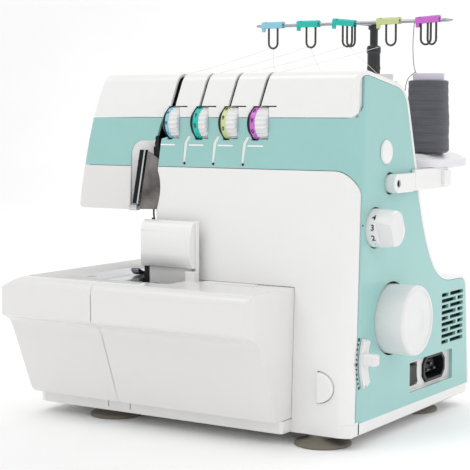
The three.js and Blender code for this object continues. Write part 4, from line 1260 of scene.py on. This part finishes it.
def make_needle_bar():
    """The bar with its clamp and two screws, the two needles and the small thread guide."""
    x, y = NEEDLE
    bar = turned("z", NEEDLE, [(0, 178), (3.2, 178), (3.2, 267), (2.6, 268), (0, 268)], 32)
    clamp = block(x - 6, x + 6, y - 5, y + 5, 176.6, 187, 1, 3)
    screws = []
    for dx in (-3.4, 3.4):
        head = disc("y", (182, x + dx), 1.4, y - 6.4, y - 4, 24)
        screws.append(cut(head, block(x + dx - 0.25, x + dx + 0.25, y - 9, y - 6, 170, 190)))
    deliver(joined([bar, clamp, *screws]), "needle_bar_and_clamp", "needle_bar", BAR_STEEL,
            ("needle_bar",))
    for name, dx, drop in (("needle_left", -3.2, 0), ("needle_right", 3.2, 3)):
        profile = path((0, 134.6 + drop), [(0.2, 135.2 + drop), (0.5, 141 + drop)], [(0.55, 147)],
                       [(1, 149)], [(1, 178)], [(0, 178)], steps=5)
        needle = turned("z", (x + dx, y), profile, 20)
        cut(needle, block(x + dx - 0.16, x + dx + 0.16, y - 2, y + 2, 139 + drop, 140.6 + drop))
        deliver(needle, "steel_" + name, "needle_bar", CHROME, (name,))

    bends = [(x - 4, y - 4, 178), (x - 4, y - 4.4, 171), (x - 3.4, y - 4.4, 166.4), (x - 5.6, y - 4.4, 167.4)]
    deliver(sweep(spline(bends, 6), 0.8, 10), "dark_needle_thread_guide", "needle_bar", LOOP_STEEL)


def make_presser():
    x, y = PRESSER
    shaft = turned("z", PRESSER, [(0, 139.6), (3.2, 139.6), (3.2, 261), (2.6, 262), (0, 262)], 32)
    collar = block(x - 5, x + 5, y - 5, y + 5, 204, 210, 0.8)
    thumb = disc("x", (y, 150), 3.4, x - 11, x - 3, 32)
    deliver(joined([shaft, collar, thumb]), "presser_bar_and_screw", "presser", BAR_STEEL,
            ("presser_bar",))
    deliver(presser_foot(), "chrome_presser_foot", "presser", CHROME_DARK, ("presser_foot",))


def make_presser_lifter():
    """The lever behind the head: a tapering arm, its hub and a rounded finger tip."""
    x = LIFTER_AXIS[1]
    corners = ((-1, 0), (1, 0), (1, 1), (-1, 1))
    levels = ((150, 5.6), (158, 4.8), (172, 4.2), (208, 4.2))
    arm = loft([[(x + dx * w, 122.6 + 3.4 * dy, level) for dx, dy in corners] for level, w in levels])
    hub = turned("y", LIFTER_AXIS, [(0, 98), (4.9, 98), (4.9, 125.8), (4.2, 126.4), (0, 126.4)], 40)
    tip = block(x - 6, x + 6, 122.6, 129.6, 148, 158, 1.6, 4)
    deliver(joined([soften(arm, 0.8, 3), hub, tip]), "white_presser_lifter", "presser_lifter", WHITE,
            ("presser_lifter",))


def presser_foot():
    """The sole with its tongue between the needles, the ankle, two lugs and their pin."""
    x, y = NEEDLE
    low, top = BED_TOP + 0.4, BED_TOP + 2.8
    side = path((6, low), [(0, low), (-2, top + 2)], [(-1.2, top + 4.4), (1, top + 3.4)],
                [(5, top + 0.6), (11, top)], [(56, top)], [(56, low + 0.6)], [(54, low)], steps=8)
    sole = prism("x", side, x - 12, x + 7)
    cut(sole, block(x - 4.5, x + 4.5, -10, y + 6, 100, 160), block(x - 7, x + 7, y - 5, y + 5, 100, 133))
    cut(sole, block(x + 3.4, x + 12, -10, 1.2, 100, 160))
    soften(sole, 0.5, 3)
    tongue = block(x - 0.7, x + 0.7, y - 22, y + 8, low + 0.2, top + 0.6, 0.3)
    shape = path((34, top - 1), [(54, top - 1)], [(54, top + 3)], [(50, top + 10), (50, 139.6)],
                 [(38, 139.6)], [(38, top + 8), (34, top + 4)], steps=6)
    ankle = soften(prism("x", shape, x - 5, x + 5), 0.7, 3)
    lugs = [block(x + s - 1, x + s + 1, 34, 52, top - 0.6, top + 5.6, 0.7) for s in (-6.4, 5.4)]
    pin = disc("x", (42, top + 3), 1.2, x - 8.4, x + 7, 20)
    return joined([sole, tongue, ankle, *lugs, pin])


def make_knives():
    blade = prism("x", [(-17, 96), (1, 96), (1, 116.4), (-5, 117), (-17, 113)], -176, -174)
    arm = block(-176, -150, -17, -11, 96, 102, 0.6)
    stem = block(-152, -149, -17, -11, 60, 102, 0.5)
    deliver(joined([soften(blade, 0.3, 2), arm, stem]), "steel_upper_knife", "upper_knife",
            PLATE_STEEL, ("upper_knife",))
    lower = block(-179.6, -177.4, -9, 5, 90, 116.6, 0.3)
    base = block(-179.6, -160, 4, 10, 84, 94, 0.8)
    deliver(joined([lower, base]), "steel_lower_knife", "casing", PLATE_STEEL, ("lower_knife",))


def make_looper(name, base_x, tip_x, height, lane):
    """A hook that tapers to its tip, its eye and its hub; lane is its place from front to back."""
    route = [(base_x, lane, 40), (base_x - 4, lane, height - 26), ((base_x + tip_x) / 2, lane, height),
             (tip_x, lane, height + 4)]
    hook = sweep(spline(route, 10), lambda t: 1.9 - 1.5 * max(0, t - 0.55) / 0.45, 14)
    eye = disc("y", (height + 2, tip_x + 9), 1.5, lane - 1.4, lane + 1.4, 20)
    profile = [(0, lane - 4), (4.6, lane - 4), (5, lane - 3.4), (5, 29), (0, 29.6)]
    hub = turned("y", (40, base_x), profile, 32)
    deliver(joined([hook, eye, hub]), "steel_" + name, name, CHROME, (name,))


def make_feed_dog():
    """Three rows of saw teeth, each in two parts, on one bar."""
    teeth = []
    low, high = BED_TOP - 1.3, BED_TOP - 0.5
    for x in FEED_XS:
        for y0, y1 in ((15, 19), (31, 40)):
            saw = [(y0, 108)]
            count = round((y1 - y0) / 1.2)
            step = (y1 - y0) / count
            for k in range(count):
                saw += [(y0 + step * k, low), (y0 + step * (k + 0.8), high)]
            saw += [(y1, low), (y1, 108)]
            teeth.append(prism("x", saw, x - 1.2, x + 1.2))
    bar = block(-201, -185, 15, 54, 104, 108.2, 0.6)
    deliver(joined([*teeth, bar]), "steel_feed_dog", "feed_dog", PLATE_STEEL, ("feed_dog",))


# ---------------------------------------------------------------- spool stand and thread guides
def make_stand():
    """The right arm with its hub and block, the bar behind the casing, and the left arm."""
    y, z = ARM_HUB
    low, high, back = 194.5, 207.5, 160
    outline = path((back, 207.4), [(y, 207.4)], steps=1)
    outline += ring_sector(ARM_HUB, 7.4, 7.4, 180, 90, 14)[:15]
    outline += [(back, 192.6)]
    arm = prism("x", outline, 0.7, 8.6)
    plan = [(0, 40), (8.6, 40), (8.6, 88), (4, 91), (4, back), (0, back)]
    clip(arm, prism("z", rounded(plan, [0, 0, 7, 3, 1, 0], 8), 180, 220))
    soften(arm, 2.2, 5)
    join(arm, block(0.5, 4.4, 98, back, 192.8, 209.6, 0.8))
    hub = disc("x", ARM_HUB, 7, -10, 2, 48)
    bar = block(-255, 7.5, 146, back, low, high, 1.6, 4)
    left = block(-272, -254, 70, back, low, high)
    cut(left, block(-269, -240, 0, 122, 180, 220))
    left_hub = disc("x", (70, z), 6.5, -272, -268.8, 48)
    join(arm, hub)
    join(arm, bar)
    cut(arm, disc("x", ARM_HUB, 3.1, 6, 20, 32))
    deliver(joined([arm, soften(join(left, left_hub), 1, 3)]), "white_spool_stand", "casing", WHITE,
            ("stand_frame",))
    screw = cut(disc("x", ARM_HUB, 3, 4, 7.4, 32), block(6.8, 9, y - 2.4, y + 2.4, z - 0.5, z + 0.5))
    deliver(screw, "stand_screw", "casing", DARK)


def tray_ring(grow, corner, level):
    """The tray's rounded outline, grown by an amount, at a height."""
    corners = box_outline(-186 - grow, 6.4 + grow, 122 - grow, 207 + grow)
    return [(x, y, level) for x, y in rounded(corners, corner, 8)]


def make_tray():
    """The tray swells from its underside to its rim and rises to a flat middle with four pins."""
    levels = [(-26, 10, 204.6), (-1, 19, 209.6), (0, 20, 210.4), (0, 20, 216), (-1, 19, 216.8),
              (-8.4, 14, 220.6), (-9.4, 14, 221)]
    tray = loft([tray_ring(*level) for level in levels])
    cut(tray, block(-275, 20, 145.4, 161, 190, 209.4))
    well = [(9, 220.2), (15.4, 220.2), (15.4, 223), (9, 223)]
    wells = [turned("z", (x, SPOOL_Y), well, 64) for x in SPOOL_XS]
    cut(tray, *wells, disc("z", MAST, 6.2, 200, 240, 48))
    soften(tray, 0.4, 2, 30)
    pin = [(0, 220), (3.2, 220), (2.3, 275), (1.6, 277.4), (0, 278)]
    pins = [turned("z", (x, SPOOL_Y), pin, 32) for x in SPOOL_XS]
    deliver(joined([tray, *pins]), "pale_spool_tray", "casing", TRAY_PLASTIC,
            ("spool_tray",))


def winding_profile(rows=74):
    """The winding's outline: it tapers upwards, swells twice and ripples from turn to turn."""
    profile = [(5, SPOOL_Z - 1), (15, SPOOL_Z - 1)]
    for k in range(rows + 1):
        t = k / rows
        swell = 0.55 * math.exp(-((t - 0.42) / 0.16) ** 2) + 0.35 * math.exp(-((t - 0.08) / 0.07) ** 2)
        ripple = 0.14 * math.sin(k * 2.3) + 0.1 * math.sin(k * 0.71)
        radius = 17.3 - 0.9 * t + swell + ripple
        profile.append((radius, SPOOL_Z + 0.6 + 57.6 * t))
    return [*profile, (14.6, SPOOL_Z + 59), (5, SPOOL_Z + 59)]


def make_spools():
    """Each reel: a moulded core and its winding. The first is grey, the others are white."""
    core = [(4.3, 0), (13, 0), (13, 1), (6, 2), (6, 57), (12.8, 59), (13.1, 64), (12.7, 64.6),
            (11.8, 64.6), (11.4, 60.4), (4.3, 60.4)]
    core = [(radius, SPOOL_Z + height) for radius, height in core]
    for i, x in enumerate(SPOOL_XS):
        name = f"thread_spool_{i + 1}"
        colour = "white" if i else "grey"
        winding = turned("z", (x, SPOOL_Y), winding_profile(), 72)
        deliver(winding, f"{colour}_winding_{i + 1}", name, WHITE_THREAD if i else GREY_THREAD,
                (name,), 80)
        deliver(turned("z", (x, SPOOL_Y), core, 72), f"spool_core_{i + 1}", name,
                CONTROL_WHITE if i else CORE_PLASTIC)


def make_mast():
    x, y = MAST
    outer = [(4, 208.3), (5.7, 208.3), (5.7, 292), (6.1, 292.6), (6.1, 294.4), (5.7, 295), (5.7, 306),
             (6.3, 306.8), (6.3, 311.4), (5.4, 313), (4, 313)]
    tube = turned("z", MAST, outer, 48)
    cut(tube, block(x + 4.6, x + 7, y - 0.5, y + 0.5, 222, 304))
    deliver(tube, "black_mast_outer", "casing", MAST_BLACK, ("mast_outer",))
    inner = turned("z", MAST, [(0, 214), (3.6, 214), (3.6, 327), (3, 327.6), (0, 327.6)], 40)
    deliver(inner, "black_mast_inner", "thread_guides", MAST_BLACK, ("mast_inner",))


CLIP_COLOURS = ["blue", "teal", "teal", "lime", "purple"]
CLIP_TILTS = [0, 0.5, 6, -0.5, -3]
CLIP_SHIFTS = [2.1, 0, -1.6, 1.8, 0]
LOOP_SHIFTS = [2.5, 2.9, 1.8, 4.3, -1.6]


def make_guide_frame():
    """A closed wire with round ends, the two wires that hold it, and the mast's cap."""
    left, right, spacing = -174, 1, 12
    frame_points = []
    for cx, start in ((left, 270), (right, 90)):
        for k in range(9):
            angle = math.radians(start - 22.5 * k)
            across = math.cos(angle) * spacing / 2
            along = math.sin(angle) * spacing / 2
            frame_points.append((cx + across, SPOOL_Y + spacing / 2 + along, GUIDE_Z))
    foot = (MAST[0], SPOOL_Y, GUIDE_Z)
    wires = [sweep(frame_points, 1.1, 12, True), sweep([foot, (*MAST, GUIDE_Z)], 1.5, 12)]
    wires.append(sweep([foot, (MAST[0], SPOOL_Y + spacing, GUIDE_Z)], 1.4, 12))
    deliver(joined(wires), "steel_guide_frame", "thread_guides", BAR_STEEL, ("thread_guide_wire",))
    collar = turned("z", MAST, [(0, 326.8), (4.6, 326.8), (5, 327.4), (5, 333.4), (4.4, 334), (0, 334)], 32)
    deliver(collar, "black_mast_cap", "thread_guides", MAST_BLACK)


def make_thread_loops():
    """The hanging loops: one for each clip, and a narrower second one beside two of them."""
    lower = [around((0, 315.5), 4.5, 180 + 15 * k) for k in range(13)]
    route = [(-4.5, 329), *lower, (4.5, 329)]
    places = [(x + shift, 1) for x, shift in zip(CLIP_XS, LOOP_SHIFTS)]
    places += [(CLIP_XS[2] + 5.3, 0.85), (CLIP_XS[4] + 3.9, 0.85)]
    loops = [sweep([(x + u * spread, SPOOL_Y - 0.8, w) for u, w in route], 0.95, 12) for x, spread in places]
    deliver(joined(loops), "steel_thread_loops", "thread_guides", LOOP_STEEL)


def make_clips():
    """The coloured clips over the front wire, each tilted and shifted a little."""
    section = path((146.4, 328.6), [(146.4, 332.4)], [(146.4, 334.3), (148.4, 334.3)], [(151.6, 334.3)],
                   [(153.6, 334.3), (153.6, 332.4)], [(153.6, 328.6)], steps=5)
    for i, (place, tilt, shift) in enumerate(zip(CLIP_XS, CLIP_TILTS, CLIP_SHIFTS)):
        x = place + shift
        colour = CLIP_COLOURS[i]
        bar = prism("x", section, x - 10.2, x + 10.2)
        join(bar, block(x - 10, x - 7, 146.6, 149.2, 325.4, 329))
        cut(bar, block(x - 12, x + 12, 148.6, 151.4, 320, GUIDE_Z + 1.3))
        cut(bar, block(x - 7.2, x - 4.8, 140, 149, 333, 340))
        soften(bar, 0.55, 3)
        pivot = Vector((x, SPOOL_Y, GUIDE_Z))
        bar.data.transform(Matrix.Translation(pivot) @ Matrix.Rotation(math.radians(tilt), 4, "Y")
                           @ Matrix.Translation(-pivot))
        deliver(bar, f"{colour}_clip_{i + 1}", "thread_guides", DIAL_COLOURS[colour],
                (f"guide_clip_{i + 1}",))


def thread(name, points, material, radius, replaces=()):
    """A sewing thread: a round wire on a smooth curve through the points."""
    made = sweep(spline(points, 8), radius, 6)
    deliver(made, name, None, material, replaces, 90)
    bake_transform(made)


def make_threads():
    x = SPOOL_XS[0]
    run = [(x - 17.4, SPOOL_Y - 6, 264), (x - 18, SPOOL_Y - 7, 271), (x - 15.4, SPOOL_Y - 8, 282),
           (x - 9.4, SPOOL_Y - 6, 288.4), (x - 11.4, SPOOL_Y - 3, 290.6), (x - 13.6, SPOOL_Y - 1, 298),
           (x - 14.6, SPOOL_Y, 312), (x - 13.6, SPOOL_Y, 329.6)]
    thread("grey_spool_thread", run, GREY_THREAD, 0.32, ("grey_thread",))
    # The grey thread's loose end.
    loose = [(x - 9.4, SPOOL_Y - 6, 288.4), (x - 7, SPOOL_Y - 9, 287.4), (x - 4, SPOOL_Y - 10, 286.2)]
    thread("grey_spool_thread_end", loose, GREY_THREAD, 0.3)
    for i, cx in enumerate(CLIP_XS[:4]):
        slot = SLOT_FIRST_X + SLOT_PITCH * i + 8
        points = [(cx, SPOOL_Y, 311.6), ((cx + slot) / 2, 84, 297), (slot, 23, 285.6)]
        thread(f"white_thread_{i + 1}", points, WHITE_THREAD, 0.2)
    for i, cx in enumerate(CLIP_XS[:3]):
        px = SPOOL_XS[3 - i]
        points = [(px, SPOOL_Y, 287), ((cx + px) / 2, SPOOL_Y, 300), (cx + 2, SPOOL_Y, 311.4)]
        thread(f"white_supply_thread_{i + 1}", points, WHITE_THREAD, 0.2)


# ---------------------------------------------------------------- drive, seen through the openings
def dress_drive():
    """The kept frame nodes: cast frame, ground shaft, motor with a copper winding, pulley and belt."""
    for node, material in (("main_frame", CASTING), ("main_shaft", BAR_STEEL), ("motor", MOTOR_BLACK),
                           ("motor_pulley", CASTING), ("drive_belt", BELT)):
        kept = bpy.data.objects[node]
        for index in range(len(kept.material_slots)):
            kept.material_slots[index].material = material
        if not kept.material_slots:
            kept.data.materials.append(material)
    coil = turned("x", (178, 62), [(15, -52), (22.6, -52), (23.4, -50.6), (22.6, -49.2), (15, -49.2)], 48)
    deliver(coil, "motor_winding", "casing", COIL_COPPER)


make_casing()
make_dark_liner()
make_recess_walls()
make_front_marks()
make_side_cap()
make_base()
make_feet()
make_bed()
make_needle_plate()
make_looper_cover()
make_bed_extension()
make_button()
make_guard()
make_handwheel()
make_length_dial()
make_feed_lever()
make_inlet()
make_power_switch()
make_vent_backing()
make_dials()
make_tension_discs()
make_face_plate()
make_needle_bar()
make_presser()
make_presser_lifter()
make_knives()
make_looper("upper_looper", -128, -168, 96, -6)
make_looper("lower_looper", -104, -148, 70, 4)
make_feed_dog()
make_stand()
make_tray()
make_spools()
make_mast()
make_guide_frame()
make_thread_loops()
make_clips()
make_threads()
dress_drive()


# ---------------------------------------------------------------- camera, light and floor
def add_camera():
    data = bpy.data.cameras.new("camera")
    data.sensor_width = 36
    data.lens = 109.7
    data.clip_end = 50
    camera = bpy.data.objects.new("camera", data)
    bpy.context.scene.collection.objects.link(camera)
    camera.location = ORIGIN + Vector((505.6, -938.5, 257.15)) * MM
    camera.rotation_euler = (math.radians(90 - CAMERA_ELEVATION), 0, math.radians(CAMERA_AZIMUTH))
    bpy.context.scene.camera = camera


def add_light(name, location, target, size, power, colour=(1, 1, 1)):
    data = bpy.data.lights.new(name, "AREA")
    data.shape = "RECTANGLE"
    data.size, data.size_y = size
    data.energy = power
    data.color = colour
    lamp = bpy.data.objects.new(name, data)
    bpy.context.scene.collection.objects.link(lamp)
    lamp.location = location
    direction = Vector(target) - Vector(location)
    lamp.rotation_euler = direction.to_track_quat("-Z", "Y").to_euler()


def add_floor():
    """A pale floor that curves up into a backdrop."""
    profile = path((-4, 0), [(2.0, 0)], [(3.2, 0), (3.2, 1.2)], [(3.2, 5)], steps=16)
    azimuth = math.radians(CAMERA_AZIMUTH)
    across = Vector((math.cos(azimuth), math.sin(azimuth), 0))
    away = Vector((-across.y, across.x, 0))
    points, faces = [], []
    for distance, height in profile:
        for side in (-5, 5):
            points.append(tuple(away * distance + across * side + Vector((0, 0, height))))
    for i in range(len(profile) - 1):
        faces.append((2 * i, 2 * i + 1, 2 * i + 3, 2 * i + 2))
    mesh = bpy.data.meshes.new("floor")
    mesh.from_pydata(points, [], faces)
    mesh.shade_smooth()
    floor = bpy.data.objects.new("floor", mesh)
    bpy.context.scene.collection.objects.link(floor)
    finish = Finish("floor paint", Roughness=0.7)
    finish.colours(finish.noise(3, 2), linear("FCFCFC"), linear("FFFFFF"))
    mesh.materials.append(finish.material)


def add_world():
    world = bpy.data.worlds.new("studio")
    world.use_nodes = True
    world.node_tree.nodes["Background"].inputs["Color"].default_value = (1, 1, 1, 1)
    world.node_tree.nodes["Background"].inputs["Strength"].default_value = 0.72
    bpy.context.scene.world = world
    bpy.context.scene.view_settings.view_transform = "Standard"


add_camera()
add_floor()
add_world()
add_light("key", (-0.8, -1.3, 2.5), (0, 0, 0.15), (1.6, 1.6), 19)
add_light("right", (2.0, -0.5, 1.3), (0, 0, 0.15), (1.0, 1.4), 6)
add_light("back", (0.3, 1.9, 2.0), (0, 0.6, 0.1), (2.5, 1.2), 22)
